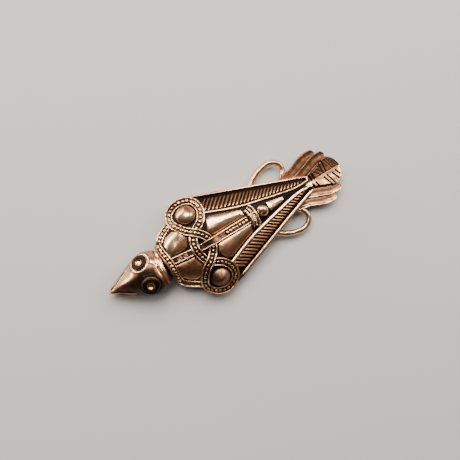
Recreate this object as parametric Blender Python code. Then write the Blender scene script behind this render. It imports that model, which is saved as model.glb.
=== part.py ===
"""Bird brooch: a bronze bird seen from above, cast in one piece, with a swinging pin behind.

The bird lies on the rim of its hollow back. +X runs to the head, +Y to the bird's
left wing and +Z up through its back. Sizes below are in millimetres and are turned
into metres when a mesh is made.
"""
import math

import bmesh
import bpy
from mathutils import Matrix, Vector

MM = 0.001

# ---- driving dimensions -------------------------------------------------------
TAIL_END_X = -37.5
WALL = 1.8                 # bronze left over the hollow back

# The bare back under the ornament: half width, edge height and crown height along X.
BACK_FRONT_X = 20.0
BACK_REAR_X = -26.0
SIDE_LINE = ((-27.0, 2.3), (3.0, 13.0), (14.0, 9.8), (20.2, 6.3))
SHOULDER_RADIUS = 4.9
EDGE_HEIGHT = ((-27.0, 3.9), (-12.0, 3.5), (3.0, 2.9), (8.6, 2.0), (14.0, 2.6), (20.2, 3.4))
CROWN_HEIGHT = ((-27.0, 4.7), (-18.0, 5.9), (-10.0, 7.0), (-2.0, 7.9), (5.0, 8.2), (12.0, 8.1),
                (20.2, 6.9))
NORMAL_REACH = 1.0         # how far the back's normals are evened out
ARCH_POWER = ((-27.0, 2.0), (0.0, 2.2), (5.0, 3.2), (8.6, 3.7), (14.0, 3.0), (20.2, 2.4))

# Bands: a flat strap with a raised rim along each edge.
STRAP_WIDTH = 2.0
BAND_WIDTH = 2.4
BAND_HEIGHT = 0.95
RIM_WIDTH = 0.45
RIM_STAND = 0.28
BAND_ROOT = 0.8            # how far a band is sunk in the back

# The knot: one band that rings both shoulder bosses and crosses itself twice.
BOSS_X, BOSS_Y = 8.6, 9.8
KNOT_RING_X, KNOT_RING_Y = 4.6, 4.0
KNOT_CROSSING = (9.0, 4.55)
BELLY_REAR_X = 6.05
BELLY_FRONT_X = 10.85
KNOT_STEP = 1.75

BOSS_RADIUS = 2.6
BOSS_SEAT = 0.3
BOSS_RISE = 1.6

# Collar, side bands, midline strap and crossband.
COLLAR = ((18.5, 0.0), (18.8, 3.0), (18.9, 5.8))
SIDE_BAND = ((18.75, 5.55), (16.8, 7.3), (14.0, 8.9))
STRAP_FRONT_X = 18.2
STRAP_REAR_X = -7.0
CROSSBAND = ((-7.3, -3.2), (-7.9, -1.6), (-8.0, 0.0), (-7.9, 1.6), (-7.3, 3.2))

# Wings: two straight-sided panels that taper to the root of the tail.
WING_TIP_X = -26.9
WING_OUTER = ((6.5, 14.0), (4.0, 13.1), (-26.4, 1.95))
WING_INNER = ((6.5, 8.6), (3.8, 7.75), (-4.7, 4.6), (-11.8, 2.85), (-18.0, 1.5), (-22.5, 0.75),
              (-26.0, 0.75))
BARB_COUNT = 28
BARB_FRONT_X = 5.6
BARB_REAR_X = -24.6
BARB_LEAN = 0.5            # how far a barb slants back, for each millimetre of wing width
BARB_RISE = 0.5
WING_RIM = 0.65
WING_RIM_RISE = 0.75

# Head: sections along its own axis, which is turned and rolled to the bird's right.
NECK_X = 19.0
HEAD_TURN = math.radians(-4.7)
HEAD_ROLL = math.radians(-9.0)
EYE_S, EYE_T = 7.2, 3.8
EYE_RING_RADIUS = 2.6
EYE_RING_WIRE = 0.42
PUPIL_RADIUS = 1.15

# Tail.
TAIL_BOTTOM = 1.7

# Side loops: a bent rod on each side between wing and tail.
LOOP_WIRE = 0.62
LOOP_HEIGHT = 2.3
LOOP = ((-10.4, 6.9), (-12.4, 8.1), (-14.4, 9.4), (-16.8, 10.35), (-19.2, 10.75), (-21.2, 10.2),
        (-22.5, 8.7), (-22.5, 7.1), (-21.6, 5.7), (-20.4, 4.4))

# Fastening on the hidden side.
PIN_HINGE_X = 12.5
PIN_HINGE_Z = 2.1
PIN_WIRE = 0.6
PIN_TIP_X = -17.5
PIN_REST_Z = 1.5
CLEARANCE = 0.3
RIVET_RADIUS = 0.55
EYE_OUTER = 1.5
EYE_WIDTH = 2.0
LUG_THICK = 1.3
LUG_RADIUS = 1.75
CATCH_X = -14.6


# ---- small helpers ---------------------------------------------------------------
def interpolate(table, x):
    """Straight-line interpolation in a table of (x, value) with rising x."""
    if x <= table[0][0]:
        return table[0][1]
    for (x0, v0), (x1, v1) in zip(table, table[1:]):
        if x <= x1:
            return v0 + (v1 - v0) * (x - x0) / (x1 - x0)
    return table[-1][1]


def half_width(x):
    """Half width of the back: straight sides, with a round shoulder about each boss."""
    straight = interpolate(SIDE_LINE, x)
    across = SHOULDER_RADIUS ** 2 - (x - BOSS_X) ** 2
    return max(straight, BOSS_Y + math.sqrt(across)) if across > 0 else straight


def back_height(x, y):
    """Height of the bare back: an arch between the edge height and the crown height."""
    edge = interpolate(EDGE_HEIGHT, x)
    crown = interpolate(CROWN_HEIGHT, x)
    across = min(abs(y) / half_width(x), 1.1)
    return edge + (crown - edge) * (1.0 - across ** interpolate(ARCH_POWER, x))


def back_normal(x, y):
    """Unit normal of the bare back, evened out over a short distance."""
    d = NORMAL_REACH
    slope_x = (back_height(x + d, y) - back_height(x - d, y)) / (2 * d)
    slope_y = (back_height(x, y + d) - back_height(x, y - d)) / (2 * d)
    return Vector((-slope_x, -slope_y, 1.0)).normalized()


def catmull(points, step, closed=False):
    """Smooth path through the points, with a sample about every step millimetres."""
    pts = [Vector(p) for p in points]
    n = len(pts)
    spans = n if closed else n - 1
    path = []
    for i in range(spans):
        if closed:
            p0, p1, p2, p3 = (pts[(i + k) % n] for k in (-1, 0, 1, 2))
        else:
            p1, p2 = pts[i], pts[i + 1]
            p0 = pts[i - 1] if i else p1 * 2 - p2
            p3 = pts[i + 2] if i + 2 < n else p2 * 2 - p1
        count = max(1, round((p2 - p1).length / step))
        for k in range(count):
            t = k / count
            path.append(0.5 * (2 * p1 + (p2 - p0) * t + (2 * p0 - 5 * p1 + 4 * p2 - p3) * t * t
                               + (3 * p1 - p0 - 3 * p2 + p3) * t ** 3))
    if not closed:
        path.append(pts[-1])
    return path


def mirrored(points):
    """The same points on the bird's other side."""
    return [(p[0], -p[1]) for p in points]


def mesh_object(name, vertices, faces, collection):
    """A mesh object from points in millimetres, with its faces turned outwards."""
    mesh = bpy.data.meshes.new(name)
    mesh.from_pydata([Vector(v) * MM for v in vertices], [], faces)
    build = bmesh.new()
    build.from_mesh(mesh)
    bmesh.ops.recalc_face_normals(build, faces=build.faces)
    build.to_mesh(mesh)
    build.free()
    obj = bpy.data.objects.new(name, mesh)
    collection.objects.link(obj)
    return obj


def loft(name, rings, collection, closed=False):
    """A solid through rings that have the same number of points."""
    size = len(rings[0])
    vertices = [p for ring in rings for p in ring]
    faces = []
    spans = len(rings) if closed else len(rings) - 1
    for i in range(spans):
        a, b = i * size, ((i + 1) % len(rings)) * size
        for k in range(size):
            j = (k + 1) % size
            faces.append((a + k, a + j, b + j, b + k))
    if not closed:
        faces.append(tuple(range(size)))
        faces.append(tuple(range((len(rings) - 1) * size, len(rings) * size)))
    return mesh_object(name, vertices, faces, collection)


def band_profile(width, height, stand=RIM_STAND, rim=RIM_WIDTH, root=BAND_ROOT):
    """Half a turn round a band's section: wall, rim, sunk floor, rim, wall."""
    w = width / 2
    floor = height - stand
    return ((-w, -root), (-w + 0.1, height), (-w + rim, height), (-w + rim + 0.12, floor),
            (w - rim - 0.12, floor), (w - rim, height), (w - 0.1, height), (w, -root))


def lay_on_back(name, path, profile, collection, lift=None, closed=False):
    """Carry a profile along a path of (x, y) on the bird's back.

    The profile's first number runs across the path and its second one stands up from
    the back. lift gives a height to add to the second number at each path point.
    """
    n = len(path)
    rings = []
    for i, p in enumerate(path):
        before = path[(i - 1) % n] if closed or i else path[0]
        after = path[(i + 1) % n] if closed or i < n - 1 else path[-1]
        normal = back_normal(p.x, p.y)
        along = Vector((after.x - before.x, after.y - before.y, 0.0))
        side = normal.cross(along).normalized()
        centre = Vector((p.x, p.y, back_height(p.x, p.y)))
        extra = lift[i] if lift else 0.0
        rings.append([centre + side * u + normal * (v + (extra if v > 0 else 0.0)) for u, v in profile])
    return loft(name, rings, collection, closed)


def rod(name, points, wire, collection, closed=False, resolution=2):
    """A round rod: a poly curve with a bevel, made into a closed mesh."""
    curve = bpy.data.curves.new(name, "CURVE")
    curve.dimensions = "3D"
    curve.bevel_depth = wire * MM
    curve.bevel_resolution = resolution
    curve.use_fill_caps = True
    spline = curve.splines.new("POLY")
    spline.points.add(len(points) - 1)
    spline.use_cyclic_u = closed
    for slot, p in zip(spline.points, points):
        thickness = p[3] if len(p) > 3 else 1.0
        slot.co = (p[0] * MM, p[1] * MM, p[2] * MM, 1.0)
        slot.radius = thickness
    guide = bpy.data.objects.new(name + "_guide", curve)
    collection.objects.link(guide)
    mesh = bpy.data.meshes.new_from_object(guide.evaluated_get(bpy.context.evaluated_depsgraph_get()))
    weld = bmesh.new()
    weld.from_mesh(mesh)
    bmesh.ops.remove_doubles(weld, verts=weld.verts, dist=0.01 * MM)
    bmesh.ops.recalc_face_normals(weld, faces=weld.faces)
    weld.to_mesh(mesh)
    weld.free()
    obj = bpy.data.objects.new(name, mesh)
    obj.matrix_world = guide.matrix_world
    collection.objects.link(obj)
    bpy.data.objects.remove(guide)
    return obj


def primitive(name, collection, kind, at, stretch, turn=None, **options):
    """A bmesh primitive, stretched, turned and moved, in millimetres."""
    build = bmesh.new()
    getattr(bmesh.ops, kind)(build, **options)
    matrix = Matrix.Translation(Vector(at) * MM) @ (turn or Matrix.Identity(4))
    matrix = matrix @ Matrix.Diagonal((stretch[0] * MM, stretch[1] * MM, stretch[2] * MM, 1.0))
    bmesh.ops.transform(build, matrix=matrix, verts=build.verts)
    bmesh.ops.recalc_face_normals(build, faces=build.faces)
    mesh = bpy.data.meshes.new(name)
    build.to_mesh(mesh)
    build.free()
    obj = bpy.data.objects.new(name, mesh)
    collection.objects.link(obj)
    return obj


def box(name, low, high, collection):
    """A box between two corners."""
    middle = [(a + b) / 2 for a, b in zip(low, high)]
    size = [b - a for a, b in zip(low, high)]
    return primitive(name, collection, "create_cube", middle, size, size=1.0)


def cylinder_y(name, centre, radius, width, collection, sides=20):
    """A cylinder along Y."""
    turn = Matrix.Rotation(math.pi / 2, 4, "X")
    return primitive(name, collection, "create_cone", centre, (radius, radius, width), turn,
                     cap_ends=True, segments=sides, radius1=1.0, radius2=1.0, depth=1.0)


def upright(normal):
    """A rotation that takes +Z to the given normal."""
    return normal.to_track_quat("Z", "Y").to_matrix().to_4x4()


def dome(name, centre, normal, radius, rise, collection, sides=16, rings=8):
    """A flattened ball whose upper half stands out of a surface."""
    return primitive(name, collection, "create_uvsphere", centre, (radius, radius, rise), upright(normal),
                     u_segments=sides, v_segments=rings, radius=1.0)


def ring(name, centre, normal, radius, wire, collection, sides=24, around=6):
    """A round wire ring lying square to the normal."""
    turn = upright(normal).to_3x3()
    rings = []
    for i in range(sides):
        a = 2 * math.pi * i / sides
        out = Vector((math.cos(a), math.sin(a), 0.0))
        section = []
        for k in range(around):
            b = 2 * math.pi * k / around
            section.append(Vector(centre) + turn @ (out * (radius + wire * math.cos(b))
                                                    + Vector((0, 0, wire * math.sin(b)))))
        rings.append(section)
    return loft(name, rings, collection, closed=True)


def gather(base, operation, pieces, name):
    """One Boolean modifier for a whole collection of pieces."""
    step = base.modifiers.new(name, "BOOLEAN")
    step.operation = operation
    step.solver = "EXACT"
    step.operand_type = "COLLECTION"
    step.collection = pieces


# ---- the body --------------------------------------------------------------------
def back_section(x, inset, drop, bottom, count):
    """A section of the back at x: a closed ring from one foot over the arch to the other."""
    half = half_width(x) - inset
    ring_points = [(x, -half, bottom)]
    for k in range(count + 1):
        y = -half * math.cos(math.pi * k / count)
        ring_points.append((x, y, back_height(x, y) - drop))
    ring_points.append((x, half, bottom))
    return ring_points


def back_solid(collection):
    """The bare arched back, from the neck to the root of the tail."""
    stations = [BACK_FRONT_X, 18.5, 16.5, 14.6, 13.3, 12.9, 12.2, 11.0, 9.8, 8.6, 7.4, 6.2, 5.0, 4.3,
                3.8, 3.0]
    stations += [3.0 - 3.2 * i for i in range(1, 9)] + [BACK_REAR_X]
    rings = [back_section(x, 0.0, 0.0, 0.0, 12) for x in stations]
    return loft("bird_casting", rings, collection)


def hollow(collection):
    """The hollow behind the back, open downwards."""
    stations = [16.6, 14.4, 12.0, 8.6, 4.0, -2.0, -8.0, -14.0, -19.5]
    rings = [back_section(x, WALL + 0.2, WALL, -1.0, 10) for x in stations]
    return loft("hollow", rings, collection)


# ---- bands -------------------------------------------------------------------------
def knot_paths():
    """The knot's two stretches: the over strand across the belly, and all the rest.

    The rest starts in front of the left boss, rings it, crosses under to the front of
    the belly, and rings the right boss the same way.
    """
    arc = []
    for degrees in range(-25, 206, 23):
        a = math.radians(degrees)
        arc.append((BOSS_X + KNOT_RING_X * math.cos(a), BOSS_Y + KNOT_RING_Y * math.sin(a)))
    over_half = [(BELLY_REAR_X, 0.0), (6.95, 2.45), KNOT_CROSSING, (11.05, 6.15), arc[0], arc[1]]
    over = mirrored(over_half[:0:-1]) + over_half
    rest_half = arc + [(6.2, 6.25), KNOT_CROSSING, (10.35, 2.5), (BELLY_FRONT_X, 0.0)]
    rest = rest_half + mirrored(rest_half[-2::-1])
    return catmull(over, KNOT_STEP), catmull(rest, KNOT_STEP)


def near(value, centre, reach):
    """1 at the centre, fading to 0 at the reach."""
    t = min(abs(value - centre) / reach, 1.0)
    return 0.5 + 0.5 * math.cos(math.pi * t)


def knot(collection):
    """The interlaced band: the over strand climbs at the crossings and dips under the strap."""
    over, rest = knot_paths()
    cross_y = KNOT_CROSSING[1]
    climb = [0.5 * near(abs(p.y), cross_y, 2.4) - 0.45 * near(p.y, 0.0, 1.6) for p in over]
    dip = []
    for p in rest:
        inner = near(abs(p.y), cross_y, 2.0)
        dip.append(-0.4 * inner + 0.35 * near(p.y, 0.0, 2.2))
    # The over strand's ends run a little lower than the ring that they merge into.
    climb[0] = climb[-1] = -0.1
    profile = band_profile(BAND_WIDTH, BAND_HEIGHT)
    lay_on_back("knot_over", over, band_profile(BAND_WIDTH - 0.06, BAND_HEIGHT), collection, climb)
    lay_on_back("knot_rest", rest, profile, collection, dip)


def straps(collection):
    """Collar, side bands to the shoulders, midline strap and crossband."""
    profile = band_profile(STRAP_WIDTH, BAND_HEIGHT)
    collar = mirrored(COLLAR[:0:-1]) + list(COLLAR)
    lay_on_back("collar", catmull(collar, 1.5), profile, collection)
    for side in (1, -1):
        points = [(x, side * y) for x, y in SIDE_BAND]
        lay_on_back(f"side_band{side}", catmull(points, 2.4), profile, collection)
    count = 14
    length = STRAP_REAR_X - STRAP_FRONT_X
    path = [Vector((STRAP_FRONT_X + length * i / count, 0.0)) for i in range(count + 1)]
    lift = [-0.12 + 0.2 * near(p.x, BELLY_REAR_X, 2.0) - 0.3 * near(p.x, BELLY_FRONT_X, 2.0) for p in path]
    lay_on_back("midline_strap", path, band_profile(STRAP_WIDTH, BAND_HEIGHT), collection, lift)
    lay_on_back("crossband", catmull(CROSSBAND, 1.3), band_profile(2.3, BAND_HEIGHT + 0.25), collection)


def pillow(name, outline, rise, collection):
    """A cushioned panel: rings that shrink to the middle while they rise."""
    corners = [Vector(p) for p in outline]
    rim = []
    for a, b in zip(corners, corners[1:] + corners[:1]):
        count = max(1, round((b - a).length / 2.2))
        rim += [a.lerp(b, k / count) for k in range(count)]
    centre = sum(rim, Vector((0, 0))) / len(rim)
    rings = []
    for scale, height in ((1.0, -0.7), (1.0, 0.0), (0.93, 0.5), (0.72, 0.86), (0.4, 1.0)):
        rings.append([(p.x, p.y, back_height(p.x, p.y) + (height * rise if height > 0 else height))
                      for p in (centre.lerp(q, scale) for q in rim)])
    return loft(name, rings, collection)


def panels(collection):
    """Two front panels, two rear panels and the small plate between the wings."""
    front = ((17.9, 1.15), (18.0, 5.0), (14.6, 7.4), (12.6, 6.5), (11.1, 4.2), (12.2, 1.15))
    rear = ((4.9, 1.15), (5.9, 3.3), (4.6, 6.4), (3.0, 6.8), (-5.6, 3.8), (-6.6, 1.15))
    for side in (1, -1):
        pillow(f"front_panel{side}", [(x, side * y) for x, y in front], 0.75, collection)
        pillow(f"rear_panel{side}", [(x, side * y) for x, y in rear], 0.8, collection)
    pillow("wing_gusset", ((-12.4, 1.6), (-17.7, 0.2), (-17.7, -0.2), (-12.4, -1.6)), 0.5, collection)


def bosses(collection):
    """A dome inside the knot's ring on each shoulder, and the knob behind the crossband."""
    for side in (1, -1):
        x, y = BOSS_X, side * BOSS_Y
        normal = back_normal(x, y)
        foot = Vector((x, y, back_height(x, y))) + normal * BOSS_SEAT
        dome(f"boss{side}", foot, normal, BOSS_RADIUS, BOSS_RISE, collection, 18, 10)
    knob_x = -10.7
    dome("knob", (knob_x, 0.0, back_height(knob_x, 0.0)), Vector((0, 0, 1)), 1.15, 1.35, collection, 12, 6)


# ---- wings ----------------------------------------------------------------------
def wing_sides(x):
    """Distance from the midline of a wing's inner and outer rim at x."""
    inner = interpolate(WING_INNER[::-1], x)
    outer = interpolate(WING_OUTER[::-1], x)
    return inner, outer


def wing_barbs(side, collection):
    """The ribbed field of a wing: one strip whose top goes up and down with each barb."""
    rings = []
    pitch = (BARB_FRONT_X - BARB_REAR_X) / BARB_COUNT
    for i in range(2 * BARB_COUNT + 1):
        x = BARB_FRONT_X - pitch * i / 2
        inner, outer = wing_sides(x)
        slant = BARB_LEAN * (outer - inner)
        rear_x = max(x - slant, WING_TIP_X + 0.9)
        rear_outer = wing_sides(rear_x)[1]
        rise = BARB_RISE if i % 2 else 0.05
        points = []
        for t, up in ((0.0, -0.6), (0.0, rise), (0.5, rise), (1.0, rise), (1.0, -0.6)):
            px = x + (rear_x - x) * t
            py = side * (inner + (rear_outer - inner) * t)
            points.append((px, py, back_height(px, py) + up))
        rings.append(points)
    return loft(f"barbs{side}", rings, collection)


def wing_rims(side, collection):
    """The wire-like rim that runs down a wing's inner side, round its tip and back."""
    tip_y = (WING_INNER[-1][1] + WING_OUTER[-1][1]) / 2
    path = [(x, side * y) for x, y in WING_INNER[1:]] + [(WING_TIP_X, side * tip_y)]
    outer = ((-26.2, 2.05), (-16.0, 5.77), (-6.0, 9.44), (4.0, 13.1), (5.4, 13.6))
    path += [(x, side * y) for x, y in outer]
    w, wall = WING_RIM / 2, WING_RIM_RISE * 0.6
    profile = ((-w, -0.6), (-w, wall), (0.0, WING_RIM_RISE), (w, wall), (w, -0.6))
    return lay_on_back(f"wing_rim{side}", catmull(path, 3.6), profile, collection)


# ---- head -----------------------------------------------------------------------
HEAD_HALF_WIDTH = ((0.7, 1.6), (1.2, 2.8), (2.0, 4.2), (3.4, 5.45), (5.2, 6.25), (6.6, 6.4), (8.2, 6.0),
                   (10.3, 5.1), (12.2, 4.1), (14.4, 2.95), (16.4, 1.75), (17.8, 0.85), (18.55, 0.22))
HEAD_TOP = ((0.7, 6.4), (2.0, 8.4), (4.0, 9.6), (6.0, 10.0), (8.0, 9.8), (10.3, 9.0), (12.2, 7.9),
            (14.4, 6.6), (16.4, 5.1), (18.55, 3.5))
HEAD_BOTTOM = ((0.7, 4.2), (2.0, 2.8), (4.0, 1.6), (6.0, 1.2), (10.0, 1.3), (14.0, 1.9), (18.55, 3.0))
HEAD_MIDDLE = ((0.7, 5.3), (6.0, 4.6), (12.0, 3.9), (18.55, 3.2))


def head_point(s, t, z):
    """From the head's own axes to the bird's: roll about the head's axis, then turn at the neck."""
    axis_z = 5.0
    y = t * math.cos(HEAD_ROLL) + (z - axis_z) * math.sin(HEAD_ROLL)
    up = axis_z - t * math.sin(HEAD_ROLL) + (z - axis_z) * math.cos(HEAD_ROLL)
    return Vector((NECK_X + s * math.cos(HEAD_TURN) - y * math.sin(HEAD_TURN),
                   s * math.sin(HEAD_TURN) + y * math.cos(HEAD_TURN), up))


def head_surface(s, angle):
    """A point on the head: a super-ellipse whose shoulders sharpen into the beak's ridge."""
    half = interpolate(HEAD_HALF_WIDTH, s)
    middle = interpolate(HEAD_MIDDLE, s)
    reach = interpolate(HEAD_TOP if math.sin(angle) >= 0 else HEAD_BOTTOM, s) - middle
    power = interpolate(((8.0, 1.0), (12.0, 1.3), (18.0, 1.6)), s) if math.sin(angle) > 0 else 1.0
    c, n = math.cos(angle), abs(math.sin(angle))
    t = half * math.copysign(abs(c) ** power, c)
    z = middle + reach * n ** power
    return head_point(s, t, z)


def head(collection):
    """The head and beak, with a ringed eye on each side."""
    around = 18
    rings = []
    for s, _ in HEAD_HALF_WIDTH:
        rings.append([head_surface(s, 2 * math.pi * k / around) for k in range(around)])
    loft("head", rings, collection)
    for side in (1, -1):
        angle = math.acos(side * EYE_T / interpolate(HEAD_HALF_WIDTH, EYE_S))
        centre = head_surface(EYE_S, angle)
        along = head_surface(EYE_S + 0.4, angle) - head_surface(EYE_S - 0.4, angle)
        across = head_surface(EYE_S, angle + 0.05) - head_surface(EYE_S, angle - 0.05)
        normal = along.cross(across).normalized()
        if normal.z < 0:
            normal = -normal
        ring(f"eye_ring{side}", centre - normal * 0.3, normal, EYE_RING_RADIUS, EYE_RING_WIRE,
             collection, 22)
        dome(f"pupil{side}", centre - normal * 0.1, normal, PUPIL_RADIUS, 0.85, collection, 12, 6)
    dome("neck", (NECK_X + 0.6, 0.0, 3.9), Vector((0, 0, 1)), 4.6, 3.2, collection, 16, 8)


# ---- tail ------------------------------------------------------------------------
def feather(name, stations, bottom, collection):
    """A tail feather: roof-shaped sections at (x, y, half width, ridge height, edge height)."""
    rings = []
    for i, (x, y, half, ridge, edge) in enumerate(stations):
        a = stations[max(i - 1, 0)]
        b = stations[min(i + 1, len(stations) - 1)]
        along = Vector((b[0] - a[0], b[1] - a[1])).normalized()
        side = Vector((-along.y, along.x))
        points = []
        for u, z in ((-1.0, bottom), (-1.0, edge), (0.0, ridge), (1.0, edge), (1.0, bottom)):
            points.append((x + side.x * half * u, y + side.y * half * u, z))
        rings.append(points)
    return loft(name, rings, collection)


def tail(collection):
    """The fan: a central feather on top of two feathers on each side."""
    for side in (1, -1):
        outer = ((-18.5, 3.4, 1.2, 3.6, 3.2), (-21.5, 4.2, 1.35, 3.8, 3.3), (-25.0, 4.9, 1.35, 3.8, 3.3),
                 (-28.0, 6.1, 1.5, 3.8, 3.2), (-30.2, 6.6, 1.45, 3.6, 3.0), (-31.8, 6.6, 1.0, 3.4, 2.9),
                 (-32.4, 6.6, 0.5, 3.2, 2.9))
        inner = ((-18.5, 1.6, 1.5, 3.9, 3.4), (-24.0, 2.2, 1.5, 4.0, 3.5), (-28.0, 3.3, 1.6, 4.0, 3.4),
                 (-31.5, 4.7, 1.45, 3.9, 3.3), (-33.6, 5.2, 1.1, 3.6, 3.1), (-34.6, 5.3, 0.6, 3.4, 3.0))
        for label, stations in (("outer", outer), ("inner", inner)):
            feather(f"{label}_feather{side}", [(x, side * y, w, r, e) for x, y, w, r, e in stations],
                    TAIL_BOTTOM, collection)
    middle = ((-22.0, 0.0, 1.6, 4.4, 4.0), (-26.6, 0.0, 1.2, 5.0, 4.3), (-28.2, 0.0, 1.7, 5.0, 4.2),
              (-30.0, 0.0, 2.5, 4.9, 4.0), (-32.2, 0.0, 3.4, 4.7, 3.8), (-34.4, 0.0, 4.3, 4.5, 3.6),
              (-36.2, 0.0, 3.2, 4.3, 3.6), (-37.1, 0.0, 1.8, 4.1, 3.6), (TAIL_END_X, 0.0, 0.6, 3.9, 3.6))
    feather("middle_feather", middle, TAIL_BOTTOM, collection)


def loops(collection):
    """The two bent rods beside the tail's root."""
    for side in (1, -1):
        path = catmull([(x, side * y) for x, y in LOOP], 1.6)
        rod(f"loop{side}", [(p.x, p.y, LOOP_HEIGHT) for p in path], LOOP_WIRE, collection)


# ---- fastening -------------------------------------------------------------------
def pin_lugs(collection):
    """Two lugs with rounded ends, cast with the back, and the hook of the catch."""
    gap = EYE_WIDTH / 2 + CLEARANCE
    for side in (1, -1):
        near_y, far_y = sorted((side * gap, side * (gap + LUG_THICK)))
        box(f"lug{side}", (PIN_HINGE_X - LUG_RADIUS, near_y, PIN_HINGE_Z),
            (PIN_HINGE_X + LUG_RADIUS, far_y, 6.9), collection)
        cylinder_y(f"lug_end{side}", (PIN_HINGE_X, (near_y + far_y) / 2, PIN_HINGE_Z),
                   LUG_RADIUS, LUG_THICK, collection)
    hook_y, hook_z, reach, half_wire = 2.2, 1.75, 1.15, 0.5
    rear, front = CATCH_X - 1.1, CATCH_X + 1.1
    turns = [math.radians(90 - 200 * k / 8) for k in range(9)]
    outer, inner = reach + half_wire, reach - half_wire
    outline = [(hook_y + outer * math.cos(a), hook_z + outer * math.sin(a)) for a in turns]
    outline += [(hook_y + inner * math.cos(a), hook_z + inner * math.sin(a)) for a in turns[::-1]]
    loft("catch_hook", [[(x, y, z) for y, z in outline] for x in (rear, front)], collection)
    box("catch_stem", (rear, hook_y - 0.6, hook_z + 0.8), (front, hook_y + 0.5, 4.9), collection)


def rivet_holes(collection):
    """The bore through both lugs."""
    cylinder_y("lug_bore", (PIN_HINGE_X, 0.0, PIN_HINGE_Z), RIVET_RADIUS + CLEARANCE, 9.0, collection)


def pin(collection, cutters):
    """The pin: a tapered wire with an eye that turns on the rivet."""
    eye = cylinder_y("pin", (PIN_HINGE_X, 0.0, PIN_HINGE_Z), EYE_OUTER, EYE_WIDTH, collection)
    length = PIN_HINGE_X - PIN_TIP_X
    points = []
    for k in range(8):
        t = k / 7
        x = PIN_HINGE_X - 1.1 - t * (length - 1.1)
        bow = 0.35 * math.sin(math.pi * t)
        points.append((x, 0.0, PIN_HINGE_Z + (PIN_REST_Z - PIN_HINGE_Z) * t + bow,
                       1.0 if k < 6 else (0.75 if k < 7 else 0.18)))
    wire = bpy.data.collections.new("pin_wire_parts")
    cutters.children.link(wire)
    rod("pin_wire", points, PIN_WIRE, wire)
    bore = bpy.data.collections.new("pin_bore_parts")
    cutters.children.link(bore)
    cylinder_y("pin_bore", (PIN_HINGE_X, 0.0, PIN_HINGE_Z), RIVET_RADIUS + CLEARANCE, 4.0, bore)
    gather(eye, "UNION", wire, "wire")
    gather(eye, "DIFFERENCE", bore, "bore")
    return eye


def rivet(collection, cutters):
    """The hinge rivet: a shank with a low head on each side."""
    shank_half = EYE_WIDTH / 2 + 2 * CLEARANCE + LUG_THICK
    shank = cylinder_y("hinge_rivet", (PIN_HINGE_X, 0.0, PIN_HINGE_Z), RIVET_RADIUS,
                       2 * shank_half + 0.4, collection, 16)
    heads = bpy.data.collections.new("rivet_head_parts")
    cutters.children.link(heads)
    for side in (1, -1):
        cylinder_y(f"rivet_head{side}", (PIN_HINGE_X, side * (shank_half + 0.3), PIN_HINGE_Z),
                   RIVET_RADIUS + 0.55, 0.6, heads, 16)
    gather(shank, "UNION", heads, "heads")
    return shank


# ---- scene -----------------------------------------------------------------------
def finish(name, colour, roughness):
    """A metal finish."""
    material = bpy.data.materials.new(name)
    material.use_nodes = True
    shader = material.node_tree.nodes["Principled BSDF"]
    shader.inputs["Base Color"].default_value = (*colour, 1.0)
    shader.inputs["Roughness"].default_value = roughness
    shader.inputs["Metallic"].default_value = 1.0
    return material


def child_collection(name, parent):
    """A collection inside another one."""
    made = bpy.data.collections.new(name)
    parent.children.link(made)
    return made


def main():
    for obj in list(bpy.data.objects):
        bpy.data.objects.remove(obj)
    root = bpy.context.scene.collection
    brooch = child_collection("bird_brooch", root)
    tools = child_collection("shaping_pieces", root)
    carved = child_collection("hollow_parts", tools)
    added = child_collection("cast_parts", tools)
    bored = child_collection("bore_parts", tools)

    casting = back_solid(brooch)
    hollow(carved)
    knot(added)
    straps(added)
    panels(added)
    bosses(added)
    for side in (1, -1):
        wing_barbs(side, added)
        wing_rims(side, added)
    head(added)
    tail(added)
    loops(added)
    pin_lugs(added)
    rivet_holes(bored)
    gather(casting, "DIFFERENCE", carved, "hollow back")
    gather(casting, "UNION", added, "cast in one")
    gather(casting, "DIFFERENCE", bored, "rivet bore")
    merge = casting.modifiers.new("merge flat faces", "DECIMATE")
    merge.decimate_type = "DISSOLVE"
    merge.angle_limit = math.radians(1.5)

    swinging_pin = pin(brooch, tools)
    hinge_rivet = rivet(brooch, tools)

    bronze = finish("antiqued_bronze", (0.46, 0.24, 0.14), 0.3)
    wire_metal = finish("bronze_wire", (0.55, 0.33, 0.18), 0.28)
    casting.data.materials.append(bronze)
    swinging_pin.data.materials.append(wire_metal)
    hinge_rivet.data.materials.append(wire_metal)
    for obj in tools.all_objects:
        obj.hide_render = True
        obj.display_type = "WIRE"


main()
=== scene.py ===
"""Bird brooch: the finished surface of a cast bronze bird, its pin and its rivet.

The frame holds the plain solids. Each operator below works out one group of forms as
numpy surfaces, in millimetres, and turns them into a mesh of closed shells, in metres.
+X runs to the head, +Y to the bird's left wing and +Z up through its back.
"""
import math

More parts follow.
